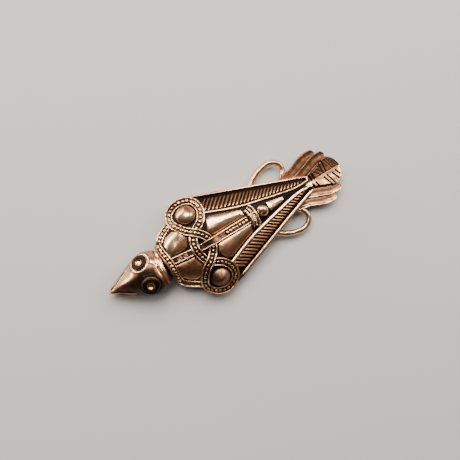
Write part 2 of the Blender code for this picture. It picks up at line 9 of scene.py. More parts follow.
import bpy
import numpy as np
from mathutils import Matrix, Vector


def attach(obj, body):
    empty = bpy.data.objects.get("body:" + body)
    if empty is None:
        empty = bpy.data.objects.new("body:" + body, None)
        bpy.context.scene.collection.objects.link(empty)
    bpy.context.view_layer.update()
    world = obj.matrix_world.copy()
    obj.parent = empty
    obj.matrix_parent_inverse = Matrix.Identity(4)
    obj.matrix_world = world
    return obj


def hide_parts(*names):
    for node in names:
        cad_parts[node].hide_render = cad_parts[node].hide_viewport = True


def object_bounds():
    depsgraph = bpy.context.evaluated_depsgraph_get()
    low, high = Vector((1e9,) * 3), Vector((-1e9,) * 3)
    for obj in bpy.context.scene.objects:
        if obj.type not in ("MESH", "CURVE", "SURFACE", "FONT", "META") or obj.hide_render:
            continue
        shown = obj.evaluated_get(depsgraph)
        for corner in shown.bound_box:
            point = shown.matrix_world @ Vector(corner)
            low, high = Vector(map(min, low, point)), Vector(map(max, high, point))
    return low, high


bl_info = {
    "name": "Bird brooch",
    "version": (1, 0, 0),
    "blender": (4, 5, 0),
    "location": "View3D > Sidebar > Brooch",
    "description": "A cast bird brooch with a knotwork back and a swinging pin",
    "category": "Add Mesh",
}

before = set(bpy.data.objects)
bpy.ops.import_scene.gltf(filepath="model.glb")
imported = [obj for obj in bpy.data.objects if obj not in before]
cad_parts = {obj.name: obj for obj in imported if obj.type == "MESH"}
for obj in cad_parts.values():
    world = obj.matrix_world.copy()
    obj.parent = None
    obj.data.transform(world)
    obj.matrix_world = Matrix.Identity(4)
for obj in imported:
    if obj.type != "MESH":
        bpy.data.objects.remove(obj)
CAD_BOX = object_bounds()
MM = 0.001

# ---- the bare back: tables of (x, value) in millimetres ----
BACK_FRONT_X = 20.0
BACK_REAR_X = -26.0
SIDE_LINE = ((-27.0, 2.3), (3.0, 13.0), (14.0, 9.8), (20.2, 6.3))
SHOULDER_RADIUS = 4.9
EDGE_HEIGHT = ((-27.0, 4.2), (-12.0, 4.3), (3.0, 3.7), (8.6, 2.8), (14.0, 3.0), (20.2, 3.4))
CROWN_HEIGHT = ((-27.0, 4.7), (-18.0, 5.9), (-10.0, 7.0), (-2.0, 7.9), (5.0, 8.2), (12.0, 8.1),
                (20.2, 6.9))
ARCH_POWER = ((-27.0, 1.7), (0.0, 1.9), (5.0, 3.0), (8.6, 3.6), (14.0, 3.0), (20.2, 2.4))
WALL, FOOT, ROUND_OVER = 1.8, 0.3, 0.7
HOLLOW_FRONT_X, HOLLOW_REAR_X = 16.6, -19.5
WAVER = 0.02
SWAY = ((-37.5, -0.2), (-26.0, -0.15), (-8.0, 0.1), (8.6, 0.35), (14.0, 0.1), (18.9, -0.3),
        (21.0, 0.0))

# ---- ornament on the back ----
BOSS_X, BOSS_Y = 8.6, 9.8
KNOT_RING_X, KNOT_RING_Y = 4.3, 3.75
KNOT_CROSSING = (9.0, 4.55)
BELLY_REAR_X = 6.05
BELLY_FRONT_X = 10.85
COLLAR = ((18.8, 0.0), (19.0, 3.0), (19.0, 5.9))
SIDE_BAND = ((18.8, 5.9), (16.9, 7.7), (13.1, 9.7))
STRAP_FRONT_X, STRAP_REAR_X = 18.2, -6.2
STRAP_WIDTH = 2.1
RIM_STAND, BAND_ROOT = 0.36, 1.5
STRAP_BEADS = (1.5, -5.8)
STRAP_RINGS = (15.9, 14.2)
CROSSBAND = ((-6.85, -3.5), (-7.5, -1.8), (-7.7, 0.0), (-7.55, 1.6), (-7.1, 3.1))
CROSSBAND_WIDTH = 2.3
KNOB_X, KNOB_Y = -10.85, 0.1
KNOB_RADIUS, KNOB_RISE = 1.62, 1.35
KNOB_LEAN = math.radians(-50.0)
FRONT_PANEL = ((18.2, 1.15), (18.2, 5.3), (16.6, 6.9), (14.2, 7.9), (12.4, 6.9), (10.9, 4.4),
               (12.0, 1.15))
REAR_PANEL = ((4.9, 1.15), (5.9, 3.3), (4.6, 6.4), (3.0, 6.8), (-5.6, 3.8), (-6.6, 1.15))
GUSSET = ((-12.7, 1.4), (-17.9, 0.6), (-18.2, -0.75), (-12.7, -1.95))
# Outline, side, rise, ridge (x, y, direction, drop), seed, wear, lowered on the left front
# panel as painted shade, and gleam (start, end, width, amount), a painted highlight, then
# cushion and chamfer where they differ from the usual.
PANELS = (
    (FRONT_PANEL, 1, 0.8, (14.0, 3.0, 2.4, 0.12), 71, 0.37, None),
    (REAR_PANEL, 1, 0.85, (1.0, 3.2, 2.0, 0.1), 76, 0.6, ((-1.5, 1.9), (-5.5, 1.9), 0.45, 0.3)),
    (FRONT_PANEL, -1, 0.8, (14.6, -4.0, 2.2, 0.2), 69, 0.61,
     ((17.2, -2.9), (16.2, -5.9), 1.7, 0.34)),
    (REAR_PANEL, -1, 0.85, (1.0, -3.5, 1.75, 0.15), 74, 0.58,
     ((4.4, -5.1), (-5.5, -2.6), 1.3, 0.3)),
    (GUSSET, 1, 0.6, (-15.0, 0.6, -1.57, 0.18), 79, 0.84, None, 0.4, 0.25),
)

# ---- wings, head, tail, loops ----
WING_TIP_X = -26.9
WING_OUTER = ((-26.4, 1.85), (4.0, 12.85), (6.5, 13.75))
WING_INNER = ((-26.0, 0.75), (-22.5, 0.75), (-18.0, 1.5), (-11.8, 2.85), (-4.7, 4.6), (3.8, 7.75),
              (6.5, 8.6))
WING_TIPS = {1: ((-26.0, 0.8), (-26.75, 1.05), (-27.0, 1.7), (-26.6, 2.25), (-25.9, 2.4)),
             -1: ((-26.15, 0.8), (-26.75, 1.08), (-26.8, 1.58), (-26.2, 2.05))}
WING_EDGE = ((-16.0, 5.77), (-6.0, 9.44), (4.0, 13.1), (5.4, 13.6))
BARB_FRONT_X, BARB_REAR_X = 5.6, -24.6
BARB_LEAN = {1: 0.95, -1: 0.85}
ROWS_PER_BARB = 14
NECK_X = 19.0
HEAD_AXIS_Z = 5.0
HEAD_TURN = math.radians(-4.7)
HEAD_ROLL = math.radians(-9.0)
HEAD_START, BEAK_START, BEAK_TIP = 0.7, 11.2, 18.72     # along the head's axis
BEAK_ROUND_FROM, BEAK_ROUND = 18.3, 0.43
HEAD_HALF_WIDTH = ((0.7, 2.5), (1.2, 4.0), (2.0, 4.95), (3.4, 5.75), (5.2, 6.28), (6.6, 6.4),
                   (8.2, 6.0), (10.3, 5.1), (12.2, 4.1), (14.4, 2.95), (16.4, 1.75),
                   (17.8, 0.85), (18.55, 0.22))
HEAD_TOP = ((0.7, 6.4), (2.0, 8.4), (4.0, 9.6), (6.0, 10.0), (8.0, 9.8), (10.3, 9.0), (12.2, 7.9),
            (14.4, 6.6), (16.4, 5.1), (18.55, 3.5))
HEAD_BOTTOM = ((0.7, 4.2), (2.0, 2.8), (4.0, 1.6), (6.0, 1.2), (10.0, 1.3), (14.0, 1.9),
               (18.55, 3.0))
HEAD_MIDDLE = ((0.7, 5.3), (6.0, 4.6), (12.0, 3.9), (18.55, 3.2))
BEAK_POWER = ((8.0, 1.0), (12.0, 1.3), (18.0, 1.6))
EYES = ((1, 7.2, 3.8), (-1, 7.6, 3.8))
TAIL_BOTTOM = 1.7
TAIL_ROOT_X = -26.4
LOOP_HEIGHT = 2.3
LOOP = ((-10.4, 6.9), (-12.4, 8.1), (-14.4, 9.4), (-16.8, 10.35), (-19.2, 10.75), (-21.2, 10.2),
        (-22.5, 8.7), (-22.5, 7.1), (-21.6, 5.7), (-20.4, 4.4))

# ---- fastening on the hidden side ----
PIN_HINGE_X, PIN_HINGE_Z = 12.5, 2.1
PIN_TIP_X, PIN_REST_Z = -17.5, 1.5
CLEARANCE = 0.3
EYE_OUTER, EYE_WIDTH = 1.5, 2.0
LUG_THICK, LUG_RADIUS, LUG_TOP_Z = 1.3, 1.75, 6.9
PLATE_BEVEL = 0.14
CATCH_X, CATCH_Y, CATCH_Z = -14.6, 2.2, 1.75
HOOK_RADIUS, HOOK_HALF_WIDTH, HOOK_HALF_THICK, HOOK_TOP_Z = 1.15, 1.1, 0.5, 5.0
PIN_START, PIN_BOW = 1.1, 0.35
PIN_TAPER = ((0.0, 0.95), (0.1, 1.0), (0.7, 0.97), (0.93, 0.6), (1.0, 0.14))
RIVET_HEAD_SPREAD, RIVET_HEAD_RISE = 0.53, 0.58

# ---- camera in millimetres, then floor and lights in metres ----
LENS, SENSOR_WIDTH = 50.0, 36.0
VIEW_OFFSET = (-0.457, 0.305, 4.06)     # of the point looked at, from the middle of the foot
CLIP_START, FLOOR_HALF, LIGHT_DISTANCE = 0.005, 3.0, 0.5
# Name, direction from the brooch, size and colour.
LIGHTS = (("key", (-0.12, -0.54, 0.83), (0.42, 0.26), (1.0, 0.94, 0.87)),
          ("side", (0.5, -0.9, 0.13), (0.5, 0.13), (1.0, 0.92, 0.82)),
          ("rear", (-0.78, -0.16, 0.6), (0.22, 0.3), (1.0, 0.93, 0.85)))

# ---- wear and painted shading of the surface: 0 is dark patina in a recess, 1 a polished high spot; on some parts one side is lowered as painted shade or raised as a painted highlight ----
RECESS, PLAIN, POLISHED = 0.05, 0.62, 1.0


# ---- small helpers ----
STATION_STEP = 0.05
STATIONS = np.arange(-40.0, 40.0, STATION_STEP)


def even_out(values, step, reach, closed=False):
    """A row of values averaged over a reach on both sides; open ends are carried on straight."""
    window = np.hanning(2 * max(1, round(reach / step)) + 3)
    ends = {"mode": "wrap"} if closed else {"mode": "reflect", "reflect_type": "odd"}
    padded = np.pad(values, len(window) // 2, **ends)
    return np.convolve(padded, window / window.sum(), mode="valid")


def rounded(table, reach):
    """A table of (place, value) as a row of values on STATIONS, with its corners rounded."""
    places, values = np.array(table, float).T
    low, high = np.searchsorted(STATIONS, (places[0], places[-1]))
    row = np.interp(STATIONS, places, values)
    inside = slice(max(low - 1, 0), high + 1)
    row[inside] = even_out(row[inside], STATION_STEP, reach)
    return row


def along(row, x):
    """Reads a rounded row at x."""
    return np.interp(x, STATIONS, row)


def smoothstep(low, high, value):
    """0 below low, 1 above high, with a soft rise between them."""
    t = np.clip((value - low) / (high - low), 0.0, 1.0)
    return t * t * (3.0 - 2.0 * t)


def near(value, centre, reach):
    """1 at the centre, fading to 0 at the reach along half a cosine wave."""
    return 0.5 + 0.5 * np.cos(np.pi * np.clip(np.abs(value - centre) / reach, 0.0, 1.0))


def bell(distance, width):
    """exp of minus the squared distance over the squared width."""
    return np.exp(-(distance / width) ** 2)


def ripple(x, y, wave, seed):
    """Smooth waves about one wave long: a third of the sum of nine sines in random directions."""
    draw = np.random.default_rng(seed)
    total = 0.0
    for turn, phase, stretch in zip(draw.uniform(0, math.tau, 9), draw.uniform(0, math.tau, 9),
                                    draw.uniform(0.7, 1.5, 9)):
        forward = x * math.cos(turn) + y * math.sin(turn)
        total = total + np.sin(math.tau * forward / (wave * stretch) + phase)
    return total / 3.0


def to_segment(u, v, start, end):
    """Distance from points (u, v) to a straight stroke."""
    start, end = np.array(start), np.array(end)
    way = end - start
    t = np.clip(((u - start[0]) * way[0] + (v - start[1]) * way[1]) / (way @ way), 0.0, 1.0)
    return np.hypot(u - start[0] - t * way[0], v - start[1] - t * way[1])


def unit(vectors):
    """Vectors divided by their own lengths."""
    return vectors / np.maximum(np.linalg.norm(vectors, axis=-1, keepdims=True), 1e-9)


def stack(x, y, z):
    """Three arrays of coordinates, spread to one shape, as points."""
    return np.stack(np.broadcast_arrays(x, y, z), axis=-1).astype(float)


UP = np.array([0.0, 0.0, 1.0])


def circle(count):
    """Angles at even steps round a circle."""
    return np.linspace(0.0, math.tau, count, endpoint=False)


def sided(points, side):
    """Points (x, y) on the bird's left (side 1), or mirrored to its right (side -1)."""
    return [(x, side * y) for x, y in points]


def run(path):
    """Distance along a path of points."""
    return np.concatenate([[0.0], np.cumsum(np.linalg.norm(np.diff(path, axis=0), axis=1))])


def to_end(place):
    """Distance to the nearer end, from distances along a path."""
    return np.minimum(place, place[-1] - place)


def read_off(path, marks):
    """A path's points at the marks, which are distances along it."""
    place = run(path)
    return np.stack([np.interp(marks, place, column) for column in path.T], axis=1)


def smooth_path(points, step, closed=False):
    """A Catmull-Rom curve through the points, read off at even steps of its length."""
    pts = np.array(points, float)
    if closed:
        ring = np.vstack([pts[-1:], pts, pts[:2]])
    else:
        ring = np.vstack([2 * pts[0] - pts[1], pts, 2 * pts[-1] - pts[-2]])
    t = np.linspace(0.0, 1.0, 60, endpoint=False)[:, None]
    p0, p1, p2, p3 = ring[:-3, None], ring[1:-2, None], ring[2:-1, None], ring[3:, None]
    curve = 0.5 * (2 * p1 + (p2 - p0) * t + (2 * p0 - 5 * p1 + 4 * p2 - p3) * t ** 2
                   + (3 * p1 - p0 - 3 * p2 + p3) * t ** 3)
    curve = np.vstack([curve.reshape(-1, pts.shape[1]), pts[:1] if closed else pts[-1:]])
    length = run(curve)[-1]
    return read_off(curve, np.linspace(0.0, length, max(3, round(length / step)) + 1))


# ---- the bare back ----
EDGE_ROW = rounded(EDGE_HEIGHT, 1.6)
CROWN_ROW = rounded(CROWN_HEIGHT, 2.0)
POWER_ROW = rounded(ARCH_POWER, 1.6)
SWAY_ROW = rounded(SWAY, 1.6)
INNER_ROW = rounded(WING_INNER, 1.2)
OUTER_ROW = rounded(WING_OUTER, 1.2)


def half_width_row():
    """Half width of the back: straight sides, or a round shoulder about a boss where wider."""
    straight = np.interp(STATIONS, *np.array(SIDE_LINE).T)
    across = SHOULDER_RADIUS ** 2 - (STATIONS - BOSS_X) ** 2
    shoulder = BOSS_Y + np.sqrt(np.maximum(across, 0.0))
    wider = np.where(across > 0, np.maximum(straight, shoulder), straight)
    return even_out(wider, STATION_STEP, 0.5)


HALF_ROW = half_width_row()
ARCH_HALF_ROW = even_out(HALF_ROW, STATION_STEP, 1.5)


def back_height(x, y):
    """Edge height plus the rise to the crown times 1 - (|y| / half width) ^ power."""
    edge = along(EDGE_ROW, x)
    across = np.minimum(np.abs(y) / along(ARCH_HALF_ROW, x), 1.1)
    return edge + (along(CROWN_ROW, x) - edge) * (1.0 - across ** along(POWER_ROW, x))


def back_normal(x, y):
    """Unit normal of the bare back from its slopes over a short reach."""
    reach = 1.0
    slope_x = (back_height(x + reach, y) - back_height(x - reach, y)) / (2 * reach)
    slope_y = (back_height(x, y + reach) - back_height(x, y - reach)) / (2 * reach)
    return unit(stack(-slope_x, -slope_y, np.ones_like(slope_x)))


def hand_made(points):
    """Leans the bird a little to one side along its length and lets its surface waver."""
    x, y, z = points[..., 0], points[..., 1], points[..., 2]
    waver = WAVER * ripple(x, y, 5.0, 11) * np.clip(z / 3.0, 0.0, 1.0)
    return stack(x, y + along(SWAY_ROW, x), z + waver)


# ---- meshes from grids of points ----
def tube(rings, wear, closed=False):
    """A closed skin over a grid of points: each row is a ring, and each open end gets a fan."""
    rows, columns = rings.shape[:2]
    points = rings.reshape(-1, 3)
    wear = np.broadcast_to(wear, (rows, columns)).reshape(-1)
    here = np.arange(rows * columns).reshape(rows, columns)
    if closed:
        here = np.vstack([here, here[:1]])
    beside = np.roll(here, -1, axis=1)
    quads = np.stack([here[:-1], here[1:], beside[1:], beside[:-1]], axis=-1)
    faces = [quads.reshape(-1, 4)]
    if not closed:
        points = np.vstack([points, rings[0].mean(axis=0), rings[-1].mean(axis=0)])
        wear = np.append(wear, (wear[:columns].mean(), wear[-columns:].mean()))
        middle = np.full(columns, rows * columns)
        faces.append(np.stack([middle, here[0], beside[0]], axis=-1))
        faces.append(np.stack([middle + 1, beside[-1], here[-1]], axis=-1))
    return points, wear, faces


def signed_volume(points, faces):
    """Volume inside the faces: the sum of corner triple products over six."""
    total = 0.0
    for block in faces:
        for k in range(1, block.shape[1] - 1):
            a, b, c = points[block[:, 0]], points[block[:, k]], points[block[:, k + 1]]
            total += np.einsum("ij,ij->", a, np.cross(b, c)) / 6.0
    return total


def footed(dome, wear, drop):
    """A dome closed by one more ring, sunk from its rim by the vector drop."""
    dull = np.full_like(wear[-1:], RECESS)
    return tube(np.vstack([dome, dome[-1:] - drop]), np.vstack([wear, dull]))


SHARP_ANGLE = math.radians(58)


def make_piece(name, shells, slot, body, nodes):
    """One mesh object from closed shells in millimetres, each turned to face outwards."""
    points, wear, corners, sizes = [], [], [], []
    start = 0
    for shell_points, shell_wear_and_shading, faces in shells:
        outward = signed_volume(shell_points, faces) > 0
        for block in faces:
            block = block if outward else block[:, ::-1]
            corners.append((block + start).reshape(-1))
            sizes.append(np.full(len(block), block.shape[1]))
        points.append(shell_points)
        wear.append(shell_wear_and_shading)
        start += len(shell_points)
    points = np.vstack(points) * MM
    if not np.isfinite(points).all():
        raise ValueError(f"{name} has points that aren't numbers")
    corners, sizes = np.concatenate(corners), np.concatenate(sizes)
    mesh = bpy.data.meshes.new(name)
    mesh.vertices.add(len(points))
    mesh.vertices.foreach_set("co", points.astype(np.float32).reshape(-1))
    mesh.loops.add(len(corners))
    mesh.loops.foreach_set("vertex_index", corners.astype(np.int32))
    mesh.polygons.add(len(sizes))
    mesh.polygons.foreach_set("loop_start", (np.cumsum(sizes) - sizes).astype(np.int32))
    mesh.update(calc_edges=True)
    mesh.attributes.new("wear", "FLOAT", "POINT").data.foreach_set(
        "value", np.clip(np.concatenate(wear), 0.0, 1.0).astype(np.float32))
    mesh.shade_smooth()
    mesh.set_sharp_from_angle(angle=SHARP_ANGLE)
    mesh.materials.append(METALS[slot](bpy.context.scene.brooch_finish))
    obj = bpy.data.objects.new(name, mesh)
    bpy.context.scene.collection.objects.link(obj)
    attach(obj, body)
    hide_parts(*nodes)


def make_casting(name, shells):
    """A part of the casting, whose shells are swayed as one."""
    swayed = [(hand_made(points), wear, faces) for points, wear, faces in shells]
    make_piece(name, swayed, "antiqued_bronze", "casting", ["bird_casting"])


# ---- body ----
def body_shell():
    """The arched back with its side walls, foot and hollow: one closed ring at each x.

    A ring runs over the arch, down the left wall, in under the foot, over the hollow's
    uneven ceiling and out to the right wall. Both ends are rounded over.
    """
    x = np.linspace(BACK_REAR_X, BACK_FRONT_X, 230)[:, None]
    short = np.maximum(ROUND_OVER - np.minimum(x - BACK_REAR_X, BACK_FRONT_X - x), 0.0)
    inset = ROUND_OVER - np.sqrt(np.maximum(ROUND_OVER ** 2 - short ** 2, 0.0))
    half = along(HALF_ROW, x) - inset
    turn = np.linspace(0.0, np.pi, 170)[None, :]
    y_top = -half * np.cos(turn)
    z_top = back_height(x, y_top) - inset
    wall_up = np.array([0.82, 0.6, 0.4, 0.2])[None, :]
    edge = z_top[:, -1:]
    y_wall = np.hstack([half + 0.02 + 0 * wall_up, half - 0.02, half - 0.1, half - FOOT])
    z_wall = np.hstack([edge * wall_up, FOOT + 0 * edge, 0.09 + 0 * edge, 0 * edge])
    opening = smoothstep(HOLLOW_REAR_X - 0.3, HOLLOW_REAR_X + 0.3, x) * smoothstep(
        HOLLOW_FRONT_X + 0.3, HOLLOW_FRONT_X - 0.3, x)
    y_in = (half - WALL) * np.cos(np.linspace(0.0, np.pi, 60))[None, :]
    z_in = (back_height(x, y_in) - WALL) * opening
    z_in[:, [0, -1]] = 0.0
    z_in = z_in + 0.07 * ripple(x, y_in, 3.0, 6) * (z_in > 0.5)
    y = np.hstack([y_top, y_wall, y_in, -y_wall[:, ::-1]])
    z = np.hstack([z_top, z_wall, z_in, z_wall[:, ::-1]])
    side = np.abs(y_top / half)
    wear_top = RECESS + 0.55 * smoothstep(0.93, 1.0, side) + 0 * x
    wear_wall = np.broadcast_to(np.linspace(0.5, PLAIN, y_wall.shape[1]), y_wall.shape)
    wear_in = 0.18 + 0.06 * ripple(x, y_in, 4.0, 5)
    wear = np.hstack([wear_top, wear_wall, wear_in, wear_wall[:, ::-1]])
    return tube(stack(x, y, z), wear)


def ellipsoid(centre, radii, wear):
    """A ball stretched to three radii, from pole to pole along Z."""
    down = np.linspace(0.0, np.pi, 48)[1:-1, None]
    turn = circle(64)[None, :]
    points = stack(np.sin(down) * np.cos(turn), np.sin(down) * np.sin(turn), np.cos(down))
    return tube(points * np.array(radii) + np.array(centre), wear)


# ---- bands ----
def carried(path, across, up, upright=0.0):
    """Points of a profile carried along (x, y) on the back: across runs sideways, up off the back.

    upright turns the profile from square to the back (0) to level (1).
    """
    ahead = unit(np.gradient(path, axis=0))
    x, y = path.T
    normal = unit((1.0 - upright) * back_normal(x, y) + upright * UP)
    side = unit(np.cross(normal, stack(ahead[:, 0], ahead[:, 1], np.zeros(len(path)))))
    centre = stack(x, y, back_height(x, y))
    return centre[:, None] + side[:, None] * across[..., None] + normal[:, None] * up[..., None]


def pellets(distance, across, first, last, pitch, radius, seed):
    """Low pellets in a row from first to last along a band, each a little off in size and place.

    A pellet is a half ball drawn out by a quarter along the band. Returns the pellets' height
    and the distance from the nearest one's rim.
    """
    draw = np.random.default_rng(seed)
    count = max(1, round((last - first) / pitch))
    middles = first + (np.arange(count) + 0.5) * (last - first) / count
    middles = middles + draw.normal(0.0, 0.03 * pitch, count)
    radii = radius * draw.uniform(0.82, 1.1, count)
    offsets = draw.normal(0.0, 0.04, count)
    nearest = np.argmin(np.abs(distance[:, None] - middles), axis=1)[:, None]
    along_it = (distance[:, None] - middles[nearest]) / 1.25
    gap = along_it ** 2 + (across - offsets[nearest]) ** 2
    size = radii[nearest]
    return np.sqrt(np.maximum(size ** 2 - gap, 0.0)), np.sqrt(gap) - size


def band(path, width, height, lift, rows, rims=(1.0, 1.0), seed=1, rim=0.5, dull=0.0, rings=(),
         stretch=1.0, sunk=0.0, closed=False, upright=0.5, floor_wear_and_shading=0.42):
    """A strap with a half-round rim along each edge, a sunk floor, rows of pellets and ring marks.

    The rims stand over the floor by RIM_STAND times sqrt(1 - d^2.4), with d the distance
    from a rim's middle over half the rim. Each of rows is a row of pellets (first, last,
    pitch, radius) along the band and rings holds the places of ring-and-dot marks. rims
    scales the right and left rim's height and stretch the band's width; sunk lowers the
    band's ends and lift the whole band.
    """
    distance = run(path)
    half = width / 2
    flat = np.linspace(-half, half, round(width / 0.08) + 1)
    across = np.concatenate([[-half - 0.08, -half - 0.05], flat, [half + 0.05, half + 0.08]])
    across = across[None, :]
    side = np.where(across < 0, rims[0], rims[1])
    worn = 1.0 + 0.07 * ripple(distance[:, None], across * 0.3, 2.3, seed)
    from_rim = (np.abs(across) - (half - rim / 2)) / (rim / 2)
    ridge = np.clip(1.0 - np.abs(from_rim) ** 2.4, 0.0, 1.0) ** 0.5 * side
    floor = height - RIM_STAND
    up = floor + RIM_STAND * ridge * worn + 0.03 * ripple(distance[:, None], across, 0.9, seed + 1)
    wear = floor_wear_and_shading - 0.3 * bell(from_rim + 1.3, 0.35) + (POLISHED - floor_wear_and_shading) * ridge
    for first, last, pitch, radius in rows:
        raised, away = pellets(distance, across, first, last, pitch, radius, seed + 2)
        up = up + 0.85 * raised
        wear = np.where(raised > 0, np.maximum(wear, 0.3 + 0.8 * raised / radius), wear)
        wear = wear - 0.6 * bell(away - 0.02, 0.1) * (np.abs(across) < half - rim)
    for middle in rings:
        reach = np.hypot(distance[:, None] - middle, across)
        mark = bell(reach - 0.5, 0.13) + bell(reach, 0.15)
        up = up + 0.17 * mark
        wear = wear + 0.55 * mark
    up[:, [1, -2]] = floor * 0.6
    sunk = 0.0 if closed else sunk * (1.0 - smoothstep(0.0, 0.7, to_end(distance)))
    up = up + np.broadcast_to(lift - sunk, distance.shape)[:, None]
    up[:, [0, -1]] = -BAND_ROOT
    wear = wear - dull
    wear[:, [0, 1, -2, -1]] = RECESS + 0.1
    across = across * np.broadcast_to(stretch, distance.shape)[:, None]
    return tube(carried(path, across, up, upright), wear, closed)


def knot_path():
    """The knot's closed course as points at even steps, and which of them run over the crossings.

    It runs from the right shoulder over the belly's rear to the left shoulder, round that
    boss, back across the belly's front and round the right boss.
    """
    turns = np.radians(np.arange(-25, 206, 23))
    arc = list(zip(BOSS_X + KNOT_RING_X * np.cos(turns), BOSS_Y + KNOT_RING_Y * np.sin(turns)))
    over_half = [(BELLY_REAR_X, 0.0), (6.95, 2.45), KNOT_CROSSING, (11.05, 6.15)]
    under_half = [(6.2, 6.25), KNOT_CROSSING, (10.35, 2.5), (BELLY_FRONT_X, 0.0)]
    course = (sided(over_half[:0:-1], -1) + over_half + arc + under_half
              + sided(under_half[-2::-1] + arc[::-1], -1))
    path = smooth_path(course, 0.1, closed=True)[:-1]
    start, end = (np.argmin(np.hypot(*(path - point).T)) for point in sided(arc[:1], -1) + arc[:1])
    place = np.arange(len(path))
    over = (place <= end) | (place >= start) if start > end else (place >= start) & (place <= end)
    return path, over


def knot_shells(sizes):
    """The interlaced band: it climbs where it runs over a crossing and dips where it runs under."""
    path, over = knot_path()
    width, height = sizes.band_width / MM, sizes.band_height / MM
    beside = np.abs(path[:, 1])
    climb = 0.5 * near(beside, KNOT_CROSSING[1], 2.4) - 0.45 * near(beside, 0.0, 1.6)
    dip = -0.4 * near(beside, KNOT_CROSSING[1], 2.0) + 0.35 * near(beside, 0.0, 2.2)
    y = path[:, 1:]
    # Painted light: the band's floor is paler towards the bird's right as a painted highlight; the
    # band is also darker near the middle, towards the left and at the outer edges, with a paler
    # floor on the left.
    left = smoothstep(2.0, 7.0, y)
    dull = 0.22 * near(y, 0.0, 5.0) + 0.12 * smoothstep(-4.0, 6.0, y) + 0.14 * left
    dull = dull + 0.32 * smoothstep(-11.3, -13.4, y) + 0.16 * smoothstep(11.3, 13.4, y)
    row = (0.0, run(path)[-1], sizes.pellet_pitch / MM, sizes.pellet_size / MM / 2)
    lift = np.where(over, climb, np.where(path[:, 0] > BOSS_X - 2.6, dip * (beside < 6.8), 0.0))
    pale = 0.38 + 0.22 * smoothstep(1.0, -8.0, y) + 0.26 * left
    return [band(path, width, height, even_out(lift, 0.1, 0.4), [row], seed=31, dull=dull,
                 closed=True, floor_wear_and_shading=pale)]


def strap_shells(sizes):
    """Collar, side bands to the shoulders, midline strap and crossband."""
    height = sizes.band_height / MM
    pitch, radius = sizes.pellet_pitch / MM, sizes.pellet_size / MM / 2
    collar = sided(COLLAR[:0:-1], -1) + list(COLLAR)
    collar = smooth_path([(x - 0.07 * y, y) for x, y in collar], 0.1)
    rows = [(0.0, run(collar)[-1], pitch * 0.95, radius * 1.05)]
    shells = [band(collar, STRAP_WIDTH, height, 0.0, rows, (0.3, 1.0), 41, 0.48, sunk=0.3,
                   floor_wear_and_shading=0.3)]
    for side in (1, -1):
        path = smooth_path(sided(SIDE_BAND, side), 0.1)
        rows = [(0.2, run(path)[-1], pitch, radius)] if side < 0 else []
        shells.append(band(path, STRAP_WIDTH, height, -0.15, rows, seed=45 + side, sunk=0.4,
                           upright=0.6))
    strap = smooth_path([(STRAP_FRONT_X, 0.0), (STRAP_REAR_X, 0.0)], 0.1)
    x = strap[:, 0]
    lift = -0.12 + 0.75 * near(x, BELLY_REAR_X, 2.4) - 0.3 * near(x, BELLY_FRONT_X, 2.0)
    rows = [(*(STRAP_FRONT_X - place for place in STRAP_BEADS), pitch, radius)]
    rings = [STRAP_FRONT_X - place for place in STRAP_RINGS]
    pale = 0.22 + 0.36 * smoothstep(6.0, 4.2, x)
    shells.append(band(strap, STRAP_WIDTH, height, lift, rows, seed=51, rim=0.45, rings=rings,
                       stretch=1.0 + 0.16 * smoothstep(9.0, 2.0, x), sunk=0.3,
                       floor_wear_and_shading=pale[:, None]))
    cross = smooth_path(CROSSBAND, 0.1)
    middle = run(cross)[-1] / 2
    rows = [(middle - 3.1, middle - 1.1, 0.7, radius * 0.7),
            (middle + 1.7, middle + 3.0, 0.6, radius * 0.62)]
    taper = 0.8 + 0.2 * smoothstep(0.0, 1.0, to_end(run(cross)))
    shells.append(band(cross, CROSSBAND_WIDTH, height + 0.3, 0.0, rows, (1.0, 0.9), 61, 0.62,
                       rings=[middle - 0.4, middle + 0.9], stretch=1.12 * taper, sunk=1.1,
                       floor_wear_and_shading=0.52))
    return shells


def knob_shell():
    """A heart-shaped knob: half a ball drawn out to one side, notched from the front and tilted."""
    turn = circle(80)[None, :]
    out = np.sin(np.linspace(0.02, np.pi / 2, 30))[:, None]
    lean = turn - KNOB_LEAN
    drawn = 0.24 * np.exp(2.2 * (np.cos(lean) - 1.0)) - 0.1 * bell(np.abs(lean) - 1.9, 0.5)
    reach = KNOB_RADIUS * (1.0 + drawn) * out
    x = KNOB_X + reach * np.cos(turn)
    y = KNOB_Y + reach * np.sin(turn)
    notch = bell(to_segment(x, y, (KNOB_X + 1.4, 0.4), (KNOB_X + 0.6, 0.0)), 0.24)
    rise = KNOB_RISE * np.sqrt(np.maximum(1.0 - out ** 2, 0.0)) - 0.4 * notch
    rise = rise - 0.12 * (y - KNOB_Y) + 0.05 * ripple(x, y, 1.8, 67)
    wear = POLISHED - 0.02 - 0.5 * smoothstep(0.9, 1.0, out) - 0.75 * notch
    return footed(stack(x, y, back_height(KNOB_X, 0.0) + rise), wear, 0.9 * UP)


